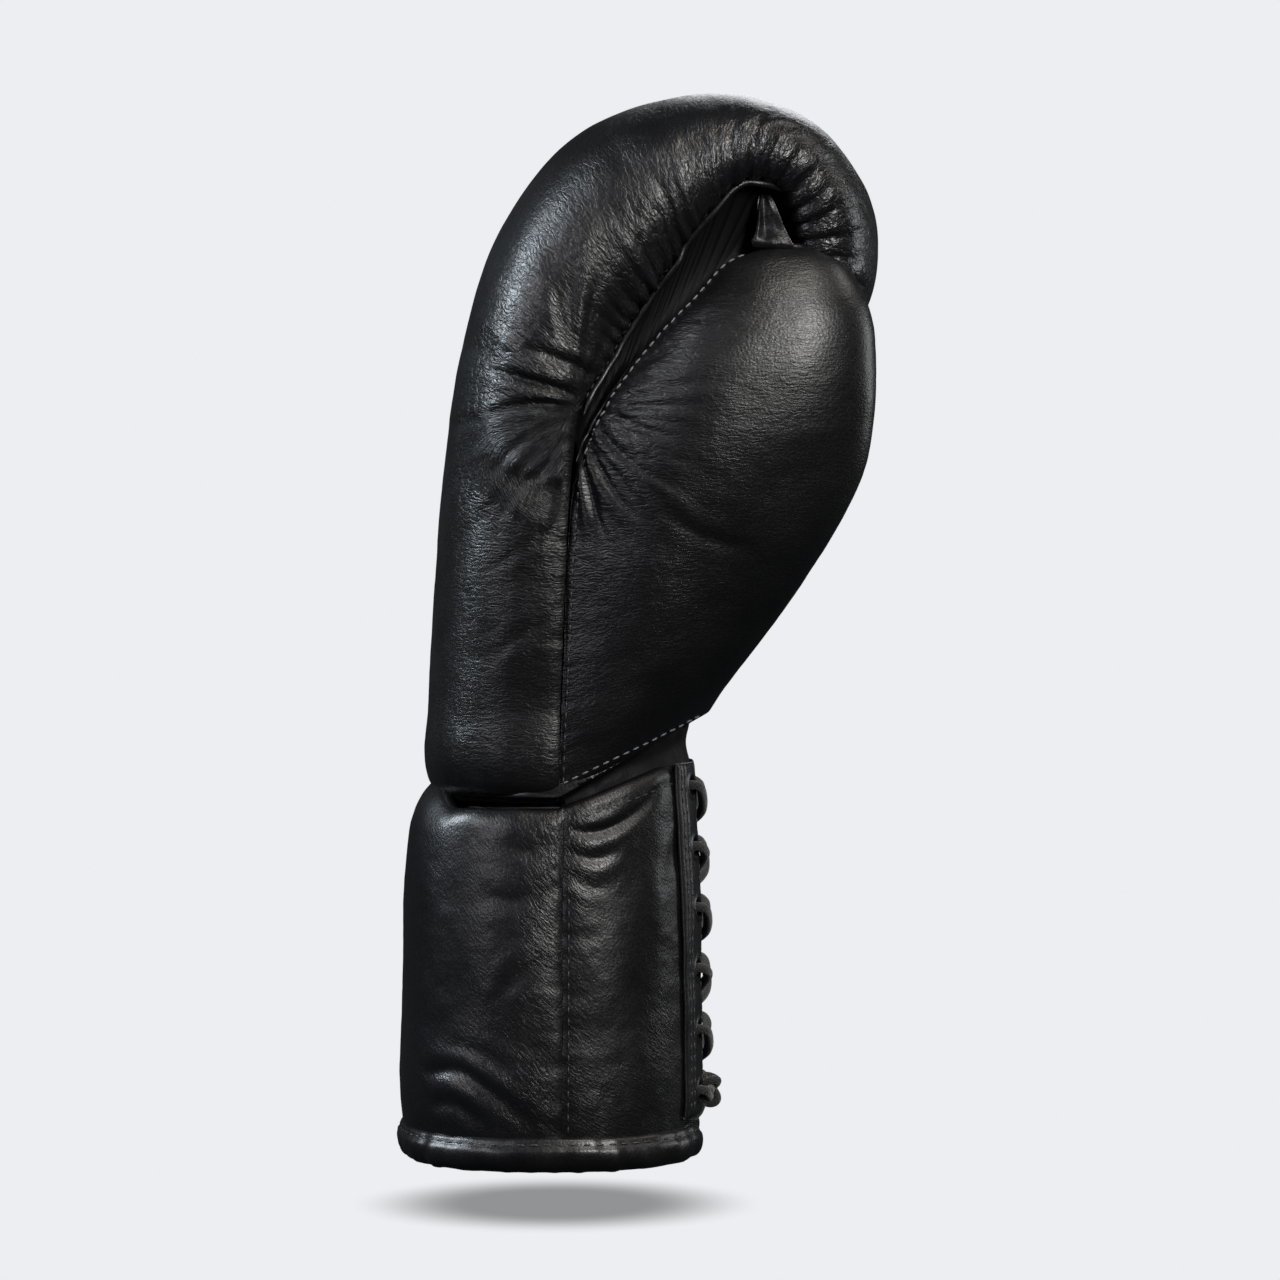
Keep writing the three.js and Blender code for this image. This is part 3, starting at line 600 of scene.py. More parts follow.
def knuckle_leather():
    def middle_line(t):
        return (catmull(RIDGE, t) + 2 * catmull(SEAM, t)) / 3

    t = even(middle_line, 352)
    thumb_side = -1 + np.linspace(0, 1, 150) ** 1.3
    far_side = 1 - np.linspace(1, 0, 101)[1:] ** 1.25
    v = np.concatenate([thumb_side, far_side])
    p = hook_grid(t, v)
    edge_xz = catmull(SEAM, t)
    core = np.stack([edge_xz[:, 0], 0 * t, edge_xz[:, 1]], -1)[:, None]
    n = facing_out(p, core)
    s = along(p[:, :1], 0)
    run = along(p, 1)
    q_thumb, q_far = run, run[:, -1:] - run
    s_far = along(p[:, -1:], 0)
    start = np.interp(0.333, t, s[:, 0])
    stop = np.interp(0.97, t, s[:, 0])
    mine, other = smooth(0, -0.3, v)[None, :], smooth(0, 0.3, v)[None, :]
    relief = np.zeros(p.shape[:2])
    edge_run = s[:, :1] + 0 * run
    full = smooth(start + 6, start + 42, s)
    for spacing, reach, height, seed in ((4.4, 17, 2.6, 11), (2.3, 11, 0.8, 12), (11, 30, 1.2, 13)):
        far = reach * (0.75 + 0.55 * smooth(start + 30, start + 75, edge_run))
        fold = gathers(edge_run, q_thumb, (start + 10, stop), spacing, far, height, seed)
        relief += mine * fold * (0.35 + 0.65 * full)
    far_start = np.interp(0.36, t, s_far[:, 0])
    far_stop = np.interp(0.97, t, s_far[:, 0])
    for spacing, reach, height, seed in ((6.1, 19, 2.0, 21), (2.6, 9, 0.6, 22), (15, 38, 1.2, 23)):
        relief += other * gathers(s_far, q_far, (far_start, far_stop), spacing, reach, height, seed)
    x, z = p[..., 0], p[..., 2]
    for path, depth, width in KNUCKLE_CREASES:
        relief += mine * crease(x, z, path, depth, width)
    fan = np.arctan2(z - CORNER_Z, CORNER_X - x)
    away = np.hypot(x - CORNER_X, z - CORNER_Z)
    ripple = noise(fan * 9, away / 30, 41) * window((4, 16), (34, 62), away)
    relief += mine * 0.55 * ripple
    relief += crinkle(s, run, 0.55, 31)
    pucker = noise(s / 3.1, 0.5, 51) * np.exp(-q_thumb / 6) * (1 - smooth(start - 8, start + 6, s))
    relief += mine * 0.3 * pucker
    sewn = 0.7 + 1.0 * smooth(start - 12, start + 8, edge_run)
    relief -= mine * sewn * np.exp(-q_thumb / 1.6)
    relief -= other * 1.7 * np.exp(-q_far / 2.2)
    up = z - FIST_FLOOR
    relief -= 3.0 * (1 - smooth(0, 7, up)) ** 1.6
    relief += 0.6 * window((4, 11), (11, 26), up)
    relief += 0.5 * np.exp(-np.maximum(up, 0) / 9) * noise(run / 5.5, z / 30, 61)
    p = p + n * relief[..., None]
    p[..., 2] -= 2.6 * (1 - smooth(0, 16, up))

    inward = np.outer(np.arange(1, 6) / 5, [0, 6.5, 0])
    left, right = p[:, :1] + inward, p[:, -1:] - inward
    grid = np.concatenate([left[:, ::-1], p, right], 1)
    w = np.arange(1, 5)[:, None, None] / 4
    low = grid[0] * (1 - w * [0.14, 0.14, 0]) + w * [0, 0, 1.5]
    high = grid[-1] * (1 - w * [0, 0.1, 0]) + w * [-7, 0, 5]
    grid = np.concatenate([low[::-1], grid, high])
    turned = np.where(z < CORNER_Z, np.clip(np.arctan2(CORNER_Z - z, CORNER_X - x), 0, 1.45), 0)
    turned = turned * (1 - smooth(20, 36, away))
    flow = np.stack([edge_run - 34 * turned * mine, run], -1)
    crepe = 0.42 + 0.8 * np.exp(-np.minimum(q_thumb, q_far) / 16) * smooth(start - 40, start, edge_run)
    crepe += 0.5 * bell(away, 26, 20) * mine
    crepe += 0.35 * smooth(0.5, 0.8, t)[:, None]
    looks = [held(values, (4, 4), (5, 5)) for values in (relief, flow, np.clip(crepe, 0, 1.1))]
    made = grid_object("knuckle_leather", grid, np.array([20.0, 0, 200]), *looks)
    inside = ("knuckle_shell", "knuckle_foam_outer", "knuckle_foam_inner")
    finish(made, hide_fist, "fist", inside)
    return t, p, n, q_thumb


KNUCKLE_CREASES = [
    ([(8, 221.5), (0, 224.5), (-9, 227), (-19, 230)], 1.5, 1.3),
    ([(7, 218.5), (-1, 219.5), (-10, 219), (-20, 217)], 1.1, 1.2),
    ([(6, 215), (-2, 213), (-10, 208), (-17, 200)], 0.7, 1.2),
    ([(5.5, 211), (0, 205), (-5, 196), (-9, 186)], 0.5, 1.2),
    ([(12, 228), (3, 232), (-8, 236)], 0.9, 1.5),
    ([(6, 206), (-8, 197), (-18, 184)], 0.35, 1.4),
    ([(4, 188), (-6, 180), (-20, 172)], 0.25, 1.6),
    ([(3, 160), (-8, 155), (-20, 146)], 0.25, 1.8),
]

t_knuckle, knuckle, knuckle_normal, knuckle_q = knuckle_leather()

# ------------------------------------------------------------------ the thumb leather


def thumb_grid(t, a):
    """The thumb's surface: t from its heel to its tip, a round it with pi at the sewn back edge."""
    back, front = catmull(THUMB_BACK, t)[:, [0, 2, 1]], catmull(THUMB_FRONT, t)[:, [0, 2, 1]]
    swell = catmull(THUMB_SWELL, t)
    across = front - back
    half = np.linalg.norm(across, axis=1) / 2
    across = across / (2 * half[:, None])
    side = np.array([0, -1.0, 0]) + across * across[:, 1:2]
    side /= np.linalg.norm(side, axis=1, keepdims=True)
    gentle = 2.7 + (ROUND - 2.7) * smooth(0.3, 0.75, t)
    e = np.where(np.cos(a)[None, :] < 0, gentle[:, None], ROUND)
    e = np.where(np.sin(a)[None, :] > 0, e, ROUND)
    rise = np.sign(np.sin(a)) * np.abs(np.sin(a)) ** e
    deep = np.where(rise > 0, swell[:, :1], swell[:, 1:])
    middle = (back + front) / 2
    return (
        middle[:, None]
        + across[:, None] * (half[:, None] * power(np.cos(a), ROUND))[..., None]
        + side[:, None] * (deep * rise)[..., None]
    )


THUMB_CREASES = [
    ([(9, 216), (12, 206), (17, 196), (24, 187)], 0.8, 1.2),
    ([(11, 217), (17, 209), (26, 201), (36, 195)], 0.6, 1.2),
    ([(8, 212), (9.5, 201), (12, 190), (17, 180)], 0.6, 1.2),
    ([(14, 219), (23, 214), (34, 210)], 0.5, 1.2),
    ([(10, 200), (16, 188), (26, 178)], 0.3, 1.5),
    ([(30, 190), (44, 182), (60, 178)], 0.25, 2.0),
]


def thumb_leather():
    def middle_line(t):
        return (catmull(THUMB_BACK, t) + catmull(THUMB_FRONT, t)) / 2

    t = even(middle_line, 300)
    outer = np.pi - np.pi * np.linspace(0, 1, 190) ** 1.15
    inner = np.linspace(0, -np.pi, 81)[1:]
    a = np.concatenate([outer, inner])
    p = thumb_grid(t, a)
    core = middle_line(t)[:, [0, 2, 1]][:, None]
    n = facing_out(p, core)
    s = along(p[:, :1], 0)
    run = along(p, 1)
    q = np.minimum(run, run[:, -1:] - run)
    outer_side = (np.sin(a) >= 0)[None, :]
    start = np.interp(0.44, t, s[:, 0])
    stop = np.interp(0.93, t, s[:, 0])
    relief = np.zeros(p.shape[:2])
    for spacing, reach, height, seed in ((2.9, 13, 0.75, 71), (1.6, 7, 0.35, 72), (8, 22, 0.55, 73)):
        relief += outer_side * gathers(s, q, (start, stop - 18), spacing, reach, height, seed, 10)
    x, z = p[..., 0], p[..., 2]
    for path, depth, width in THUMB_CREASES:
        relief += outer_side * crease(x, z, path, depth, width)
    fan = np.arctan2(CORNER_Z - z, x - CORNER_X)
    away = np.hypot(x - CORNER_X, z - CORNER_Z)
    ripple = noise(fan * 11, away / 26, 81) * window((3, 12), (26, 52), away)
    relief += outer_side * 0.5 * ripple
    relief += crinkle(s, run, 0.4, 91)
    pucker = noise(s / 3.1, 0.5, 92) * np.exp(-q / 6) * (1 - smooth(start - 8, start + 6, s))
    relief += 0.25 * pucker
    relief -= (0.45 + 0.85 * smooth(start - 12, start + 6, s)) * np.exp(-q / 1.6)
    up = s - s[:1]
    relief -= 1.9 * (1 - smooth(0, 5, up)) ** 1.5
    relief += 0.35 * np.exp(-up / 8) * noise(run / 5.0, 0.5, 93)
    p = p + n * relief[..., None]
    p[..., 2] -= 1.8 * (1 - smooth(0, 14, up))
    low = p[0] + np.arange(1, 4)[:, None, None] / 3 * [0.0, 9.0, 1.0]
    centre = p[-1].mean(0)
    dome = np.arange(1, 8)[:, None, None] / 7 * math.pi / 2
    high = centre + (p[-1] - centre) * np.cos(dome) + np.sin(dome) * [0, 0, 1.6]
    grid = np.concatenate([low[::-1], p, high])
    flow = np.stack([s[:, :1] + 0 * run, run], -1)
    gathered = window((start - 75, start - 10), (stop - 30, stop), s)
    crepe = 0.22 + 0.85 * np.exp(-q / 20) * gathered + 0.35 * np.exp(-q / 9)
    looks = [held(values, (3, 7)) for values in (relief, flow, np.clip(crepe, 0, 1.1))]
    made = grid_object("thumb_leather", grid, centre - [10, 0, 50], *looks)
    finish(made, hide_fist, None, ("heel_cover", "thumb_cover", "heel_foam", "thumb_foam"))
    bend_thumb(made)
    return t, p, n, run


t_thumb, thumb, thumb_normal, thumb_q = thumb_leather()

# ------------------------------------------------------------------ the web, its welts and the strap


def web_leather():
    share = np.linspace(0, 1, 170)
    edge = at_shares(0.325 + 0.52 * share, t_knuckle, knuckle[:, 0])
    back = thumb[(t_thumb > 0.43) & (t_thumb < 0.985), 0]
    behind_thumb = [(64, -48, 266.5), (72, -47, 266), (80, -46, 262.5)]
    rim = rounded(np.concatenate([back[::8], behind_thumb]), 170)
    edge[:, 1] += 2.0
    rim[:, 1] += 2.0
    across = rim - edge
    w = np.linspace(-0.3, 1.3, 40)
    sag = np.clip(1 - (2 * w - 1) ** 2, -1.2, 1)
    open_mm = np.linalg.norm(across, axis=1)
    p = edge[:, None] + across[:, None] * w[None, :, None]
    p[..., 1] += np.minimum(open_mm * 0.3, 3.5)[:, None] * sag[None, :]
    ripple = 0.3 * noise(share[:, None] * 14, w[None, :] * 2, 101)
    p[..., 1] += ripple
    # The relief is lowered by 0.6 so the leather tone comes out darker: painted shade in the web.
    made = grid_object("web_leather", p, np.array([30.0, 0, 240]), ripple - 0.6, crepe=0.05 + 0 * ripple)
    thicken(made, 1.4)
    finish(made, hide_web, None, ("thumb_web",))
    bend_thumb(made)


web_leather()


def welt(name, points, inward, radius, body):
    path, share = rounded(points[::6] + inward, 160), np.linspace(0, 1, 160)
    fade = np.minimum(smooth(0, 0.06, share), 1 - smooth(0.95, 1, share))
    made = tube_object(name, path, radius * (0.35 + 0.65 * fade), 8)
    finish(made, hide_trim, body)
    if body is None:
        bend_thumb(made)


pick = (t_knuckle > 0.335) & (t_knuckle < 0.70)
welt("welt_fist", knuckle[pick, 0], [0.9, -1.3, -0.9], 1.0, "fist")
pick = (t_thumb > 0.44) & (t_thumb < 0.975)
welt("welt_thumb", thumb[pick, 0], [-0.4, 0.1, 0.4], 0.55, None)


def strap():
    """The tab that ties the thumb to the finger end: a folded triangle with a rolled lower edge."""
    line = [
        (60.8, -51.5, 282.5), (61.2, -54.2, 279.5), (61.8, -54.6, 275.5), (62.6, -54.0, 270.8),
        (63.0, -55.4, 268.0), (63.2, -56.0, 266.2), (63.2, -55.0, 264.8), (63.0, -53.4, 264.8),
        (62.8, -52.6, 267.0),
    ]  # fmt: skip
    t = np.linspace(0, 1, 80)
    spine = catmull(line, t)
    half = np.interp(t, [0, 0.08, 0.42, 0.6, 1], [0.9, 1.2, 4.6, 5.8, 5.6])
    w = np.linspace(-1, 1, 30)
    p = spine[:, None] + np.zeros((1, 30, 3))
    p[..., 0] += half[:, None] * w
    p[..., 2] -= 0.10 * half[:, None] * w * smooth(0.1, 0.4, t)[:, None]
    flat = (1 - smooth(0.45, 0.6, t))[:, None]
    bow = (0.9 * bell(w, -0.84, 0.17) - 0.8 * bell(w, -0.35, 0.4)) * flat
    bow = bow + 0.3 * noise(w[None, :] * 2.5, t[:, None] * 6, 111)
    p[..., 1] -= bow
    made = grid_object("thumb_strap_leather", p, np.array([62.0, -44, 277]), bow * 0.7, crepe=0.35 + 0 * bow)
    thicken(made, 1.0, 0.3)
    finish(made, hide_trim, None, ("thumb_strap",))
    bend_thumb(made)


strap()

# ------------------------------------------------------------------ the palm


def hand_grid(t, a, grow):
    line, half = catmull(HAND_LINE, t), catmull(HAND_HALF, t)
    tilt = np.radians(line[:, 2])[:, None]
    palmward = (half[:, :1] + grow) * power(np.cos(a), ROUND)
    out = grow * smooth(0.93, 1, t)[:, None]
    x = line[:, :1] + palmward * np.cos(tilt) + out * np.sin(tilt)
    z = line[:, 1:2] - palmward * np.sin(tilt) + out * np.cos(tilt)
    y = (half[:, 1:] + grow) * power(np.sin(a), ROUND) + 0 * x
    return np.stack([x, y, z], -1)


def hand_core(t):
    line = catmull(HAND_LINE, t)
    return np.stack([line[:, 0], 0 * t, line[:, 1]], -1)[:, None]


GRIP = np.array([(37.5, -16, 208), (37.5, 36, 208)], float)


def palm_leather():
    t = np.linspace(0.245, 1, 190)
    a = np.linspace(-np.pi, np.pi, 220)
    p = hand_grid(t, a, PALM_WALL)
    n = facing_out(p, hand_core(t))
    s, run = along(p, 0), along(p, 1)
    y, z = p[..., 1], p[..., 2]
    relief = crinkle(s, run, 0.9, 121)
    palmward = (np.cos(a) > 0)[None, :]
    bar = bell(z, 208, 7) * window((-22, -14), (34, 42), y)
    relief += palmward * 0.8 * bar
    lines = np.sin(z / 2.6 + 3 * noise(y / 15, z / 20, 122)) * bell(z, 208, 22)
    relief += palmward * 0.35 * lines
    p = p + n * relief[..., None]
    grid = np.concatenate([p, closing(p[-1], 6)])
    lowest = FIST_FLOOR + 0.3 + np.maximum(grid[..., 0] - 2, 0) * FIST_SLOPE
    grid[..., 2] = np.maximum(grid[..., 2], lowest)
    made = grid_object("palm_leather", grid, hand_core(np.array([0.5]))[0], held(relief, (0, 6)))
    finish(made, hide_cuff, "fist", ("palm_panel", "palm_padding"))


palm_leather()


def grip_sleeve():
    t = np.linspace(0, 1, 120)
    axis = GRIP[0] + (GRIP[1] - GRIP[0]) * (t[:, None] * 1.08 - 0.04)
    radius = 7.6 * np.clip(1 - (2 * np.abs(t - 0.5)) ** 7, 0, 1) ** 0.5 + 0.05
    p = tube_points(axis, radius, 48)
    run = along(p, 1)
    s = t[:, None] * 56
    relief = 0.45 * noise(s / 3.0, run / 9, 131) + 0.25 * noise(s / 7, run / 6, 132)
    n = facing_out(p, axis[:, None])
    p = p + n * (relief * smooth(0, 1, radius)[:, None])[..., None]
    made = grid_object("grip_sleeve", p, axis[:, None], relief)
    finish(made, hide_cuff, "fist", ("grip_bar",))


grip_sleeve()


def welt_palm():
    """The sewn edge where the knuckle leather meets the palm's, on the little-finger side."""
    share = np.linspace(0.02, 0.97, 220)
    edge = at_shares(share, t_knuckle, knuckle[:, -1])
    edge += [0.4, -1.2, 0]
    tip = knuckle[-1, 40:-40:6] + [-1.6, 0, 1.0]
    for name, path in (("welt_palm", rounded(edge[::8], 200)), ("welt_fingers", rounded(tip, 120))):
        finish(tube_object(name, path, 1.1, 10), hide_trim, "fist")


welt_palm()

# ------------------------------------------------------------------ linings


def hand_lining():
    for name, t, body, node_name in (
        ("cuff_lining", np.linspace(0.118, 0.272, 90), "cuff", "cuff_liner"),
        ("hand_lining", np.linspace(0.278, 1, 150), "fist", "hand_liner"),
    ):
        a = np.linspace(-np.pi, np.pi, 180)
        p = hand_grid(t, a, 0.6)
        run, s = along(p, 1), along(p, 0)
        n = facing_out(p, hand_core(t))
        relief = 0.5 * noise(run / 9, s / 30, 141) + 0.25 * noise(run / 4, s / 14, 142)
        p = p + n * relief[..., None]
        if body == "fist":
            p = np.concatenate([p, closing(p[-1], 6)])
        x, z = p[..., 0], p[..., 2]
        forward = np.maximum(x - 2, 0)
        if body == "fist":
            p[..., 2] = np.maximum(z, 109 + forward * FIST_SLOPE)
        else:
            p[..., 2] = np.minimum(z, 104.8 + forward * CUFF_SLOPE + 0.02 * np.minimum(x, 0))
        made = grid_object(name, p, p.mean((0, 1)))
        thicken(made, 0.7)
        finish(made, lining, body, (node_name,))


hand_lining()


def thumb_lining():
    path = rounded(THUMB_SPACE, 80)
    z = path[:, 2]
    path = path[z > 204]
    share = np.linspace(0.45, 1, len(path))
    rings = tube_points(path, 11.9 - 4.2 * share**3, 40)
    rings = np.concatenate([rings, closing(rings[-1], 5)])
    made = grid_object("thumb_lining", rings, rings.mean((0, 1)))
    thicken(made, 0.6)
    finish(made, lining, "thumb", ("thumb_liner",))


thumb_lining()

# ------------------------------------------------------------------ the cuff


def cuff_point(z, turn, grow):
    size = catmull(CUFF_SIZE, np.asarray(z) / CUFF_LOFT_TOP)
    x = size[..., 0] + (size[..., 1] + grow) * power(np.cos(turn), ROUND)
    y = (size[..., 2] + grow) * power(np.sin(turn), ROUND)
    return np.stack(np.broadcast_arrays(x, y, z), -1)


def cuff_top(x):
    """Height of the cuff's upper edge at a depth x: a collar at the back, sloped at the palm side."""
    collar = 104.6 + 8.2 * smooth(-30, -41.5, x)
    return np.where(x < 2, collar, 104.9 + (x - 2) * 0.36)


def cuff_panel(name, turns, rows, puff, shoulder, seed, creases=(), sign=-1, free_edge=False):
    """One padded panel of the cuff over the turns given, rounded in at its top edge."""
    outline = cuff_point(104.0, turns, 0)
    top = cuff_top(outline[:, 0])
    w = 1 - (1 - np.linspace(0, 1, rows)) ** 1.35
    z = 3.4 + (top[None, :] - 3.4) * w[:, None]
    p = cuff_point(np.minimum(z, 118), turns[None, :], 0)
    core = np.stack([0 * z, 0 * z, z], -1)
    n = facing_out(p, core)
    run = along(p, 1)
    down = top[None, :] - z
    q = run if free_edge else np.minimum(run, run[:, -1:] - run)
    tall, deep = shoulder
    back = smooth(-28, -41, outline[:, 0])[None, :]
    tall = tall + (17 - tall) * back
    deep = deep + (7.4 - deep) * back
    relief = puff * (1 - np.exp(-q / 9)) * (1 - np.exp(-down / 12)) * (1 - np.exp(-(z - 3) / 9))
    relief -= 0.75 * np.exp(-q / 1.5)
    near = np.clip(1 - down / tall, 0, 1)
    relief -= deep * (1 - np.sqrt(np.clip(1 - near**2.2, 0, 1)))
    relief += crinkle(z, run, 0.7, seed)
    relief += 0.45 * np.exp(-down / 7) * noise(run / 6.5, 0.5, seed + 5) * (1 - 0.7 * back)
    relief += 0.25 * np.exp(-q / 8) * noise(z / 3.4, 0.5, seed + 6)
    relief += 0.30 * np.exp(-(z - 8) / 9) * noise(run / 4.3, z / 30, seed + 7)
    side = (p[..., 1] < 0) if sign < 0 else (p[..., 1] > 0)
    for path, depth, wide in creases:
        relief += side * crease(p[..., 0], z, path, depth, wide)
    p = p + n * relief[..., None]
    lip = [p[-1] - n[-1] * (2.4 * k / 5) - [0, 0, 0.2 * k * k] for k in range(1, 6)]
    grid = np.concatenate([p, lip])
    slant = 0.75 * z + 0.65 * run + 7 * noise(z / 40, run / 40, seed + 8)
    flow = np.stack([slant, 0.65 * z - 0.75 * run], -1)
    crepe = 0.22 + 0.5 * np.clip(noise(z / 22, run / 16, seed + 9), 0, 1) + 0.3 * np.exp(-q / 10)
    crepe = crepe * (1 - 0.6 * back * smooth(60, 90, z))
    looks = [held(values, (0, 5)) for values in (relief, flow, crepe)]
    return grid_object(name, grid, np.array([0, 0, 50.0]), *looks), p, n


BACK_CREASES = [
    ([(-37, 27), (-27, 29), (-17, 23), (-6, 13)], 0.85, 2.3),
    ([(-30, 36), (-20, 34), (-9, 25)], 0.4, 2.2),
    ([(-36, 18), (-27, 19), (-19, 13)], 0.4, 2.0),
    ([(-2, 82), (-10, 78), (-22, 80)], 0.35, 2.4),
    ([(0, 62), (-9, 57), (-17, 48)], 0.35, 2.4),
    ([(2, 96), (-6, 92), (-15, 94)], 0.3, 2.2),
]
SIDE_CREASES = [
    ([(5, 98), (14, 98), (24, 103), (33, 112)], 0.9, 1.6),
    ([(4, 92), (12, 90), (20, 92)], 0.4, 1.6),
    ([(5, 86), (11, 82), (19, 82)], 0.3, 1.8),
    ([(38, 98), (34, 84), (37, 66)], 0.4, 2.4),
]

SEAM_TURN = math.radians(86.4)
EDGE_TURN = math.radians(26.0)
back_turns = np.linspace(SEAM_TURN, 2 * np.pi - SEAM_TURN, 330)
made, _, _ = cuff_panel("cuff_back_leather", back_turns, 210, 1.1, (6, 3.2), 151, BACK_CREASES)
finish(made, hide_cuff, None, ("cuff_back_panel", "cuff_back_foam"))
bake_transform(made)
sides = {}
for label, sign in (("thumb_side", -1), ("outer_side", 1)):
    turns = np.linspace(SEAM_TURN, EDGE_TURN, 130)
    if sign < 0:
        turns = 2 * np.pi - turns
    name = "cuff_side_leather_" + label
    made, p, n = cuff_panel(name, turns, 210, 0.4, (4, 3.0), 161 + sign, SIDE_CREASES, sign, True)
    nodes = ("cuff_panel_" + label, "cuff_padding_" + label)
    finish(made, hide_cuff, "cuff", nodes)
    sides[label] = (p, n)


def wrist_fold():
    """Soft leather in the crease between the cuff and the fist, made with fixed folds; on the glove it folds
    as the wrist bends.
    """
    turns = np.linspace(0.0, 2 * np.pi, 420)
    w = np.linspace(0, 1, 30)
    outline = cuff_point(106.0, turns, 0)
    x = outline[:, 0]
    low = 99.0 + np.maximum(x - 2, 0) * CUFF_SLOPE
    high = FIST_FLOOR + 3.5 + np.maximum(x - 2, 0) * FIST_SLOPE
    z = low[None, :] + (high - low)[None, :] * w[:, None]
    grow = -6.6 - 3.6 * smooth(0, -30, x) + 5.6 * smooth(20, 37, x)
    p = cuff_point(z, turns[None, :], grow[None, :])
    run = along(p, 1)
    n = facing_out(p, np.array([0, 0, 107.0]))
    relief = 0.7 * np.sin(np.pi * w * 3)[:, None] + 0.6 * noise(run / 5, w[:, None] * 2, 171)
    p = p + n * relief[..., None]
    # The relief is lowered by 0.6 so the leather tone comes out darker: painted shade in the crease.
    made = grid_object("wrist_fold", p, np.array([0, 0, 107.0]), relief - 0.6)
    thicken(made, 1.2)
    finish(made, hide_web, None, ("wrist_gusset", "wrist_crease_strip"))
    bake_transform(made)


wrist_fold()


def binding():
    turns = np.linspace(math.radians(14.5), 2 * np.pi - math.radians(14.5), 420)
    outline = [
        (-11.5, 0.9), (-10.2, 0.15), (-6, 0.0), (-2, 0.0), (0.9, 0.5), (2.4, 2.2), (2.9, 4.8),
        (2.5, 7.2), (1.6, 9.0), (0.6, 9.9), (-0.4, 10.2), (-1.6, 10.2), (-3, 7), (-7, 4.4), (-11.5, 3.6),
        (-12.4, 2.2), (-11.5, 0.9),
    ]  # fmt: skip
    loop = rounded(outline, 56)
    inward = 1.0 - 0.18 * np.abs(np.sin(turns))
    grow = loop[None, :, 0] * np.where(loop[None, :, 0] < -3, inward[:, None], 1)
    z = loop[None, :, 1] + 0 * grow
    p = cuff_point(z, turns[:, None], grow)
    core = cuff_point(np.full((len(turns), 1), 4.5), turns[:, None], -3.0)
    n = facing_out(p, core)
    s = along(p[:, 20:21], 0)
    q = along(p, 1)
    outside = smooth(-1, 1, grow)
    relief = outside * (0.42 * noise(s / 3.6, q / 7, 181) + 0.3 * noise(s / 11, q / 20, 182))
    relief -= 0.55 * bell(z, GROOVE_Z, 0.8) * outside
    p = p + n * relief[..., None]
    p[..., 2] = np.maximum(p[..., 2], 0)
    grid = np.concatenate([closing(p[0], 4)[::-1], p, closing(p[-1], 4)])
    made = grid_object("cuff_binding_leather", grid, held(core, (4, 4)), held(relief, (4, 4)))
    finish(made, hide_trim, "cuff", ("cuff_binding",))
    column = int(np.argmin(np.abs(loop[:, 1] - GROOVE_Z) + 10 * (loop[:, 0] < 0.5)))
    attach(stitches("stitches_binding", p[:, column], n[:, column], 2.6, 1.2, 0.3), "cuff")


binding()

# ------------------------------------------------------------------ facings, tongue and lace


def palm_side_x(y, z, grow=0.0):
    size = catmull(CUFF_SIZE, np.asarray(z, float) / CUFF_LOFT_TOP)
    rest = 1 - np.minimum(np.abs(y) / (size[..., 2] + grow), 1) ** 2.4
    return size[..., 0] + (size[..., 1] + grow) * rest ** (1 / 2.4)


FACING_SEAMS = (("inner", THROAT + 2.4), ("outer", FACING_EDGE - 2.4), ("second", FACING_EDGE - 5.0))


def facing(label, sign):
    """A leather strip with punched eyelets, as a grid whose holes are dented through."""
    low, high = 12.5, 116.8
    z = np.linspace(low, high, 420)
    y = np.linspace(THROAT, FACING_EDGE, 74)
    zz, yy = np.meshgrid(z, y, indexing="ij")
    x = palm_side_x(yy, zz, 0.3) + 1.9
    p = np.stack([x, sign * yy, zz], -1)
    edge = np.minimum(np.minimum(yy - THROAT, FACING_EDGE - yy), np.minimum(zz - low, high - zz))
    relief = -0.9 * np.exp(-edge / 0.7) + 0.25 * noise(zz / 9, yy / 8, 191 + sign)
    for k in range(EYELET_ROWS):
        away = np.hypot(zz - (EYELET_TOP - k * EYELET_PITCH), yy - EYELET_Y)
        relief += 0.35 * bell(away, 3.4, 0.7) - 3.4 * (1 - smooth(1.9, 2.9, away))
    for _, line in FACING_SEAMS:
        relief -= 0.25 * bell(yy, line, 0.5)
    p[..., 0] += relief
    made = grid_object("lace_facing_leather_" + label, p, np.array([0, 0, 60.0]), relief)
    thicken(made, 1.5)
    finish(made, hide_trim, "cuff", ("lace_facing_" + label,))
    n = facing_out(p, np.array([0, 0, 60.0]))
    for tag, line in FACING_SEAMS:
        column = nearest(y, line)
        made = stitches(f"stitches_facing_{label}_{tag}", p[8:-8, column], n[8:-8, column], 2.3, 1.1, 0.26)
        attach(made, "cuff")


facing("thumb_side", -1)
facing("outer_side", 1)


def tongue():
    z, y = np.linspace(5, 114, 120), np.linspace(-26.5, 26.5, 70)
    zz, yy = np.meshgrid(z, y, indexing="ij")
    relief = crinkle(zz, yy, 0.7, 201)
    p = np.stack([palm_side_x(yy, zz, -5.8) + relief * 0.5, yy, zz], -1)
    made = grid_object("tongue_leather", p, np.array([0, 0, 60.0]), relief)
    thicken(made, 1.8, 0.4)
    finish(made, hide_cuff, "cuff", ("tongue",))


tongue()

OVER = 2.2 + LACE_RADIUS + 0.3
UNDER = -(1.6 + LACE_RADIUS + 0.6)


def on_palm_side(y, z, rise):
    return [float(palm_side_x(max(abs(y), 3), z)) + rise, y, z]


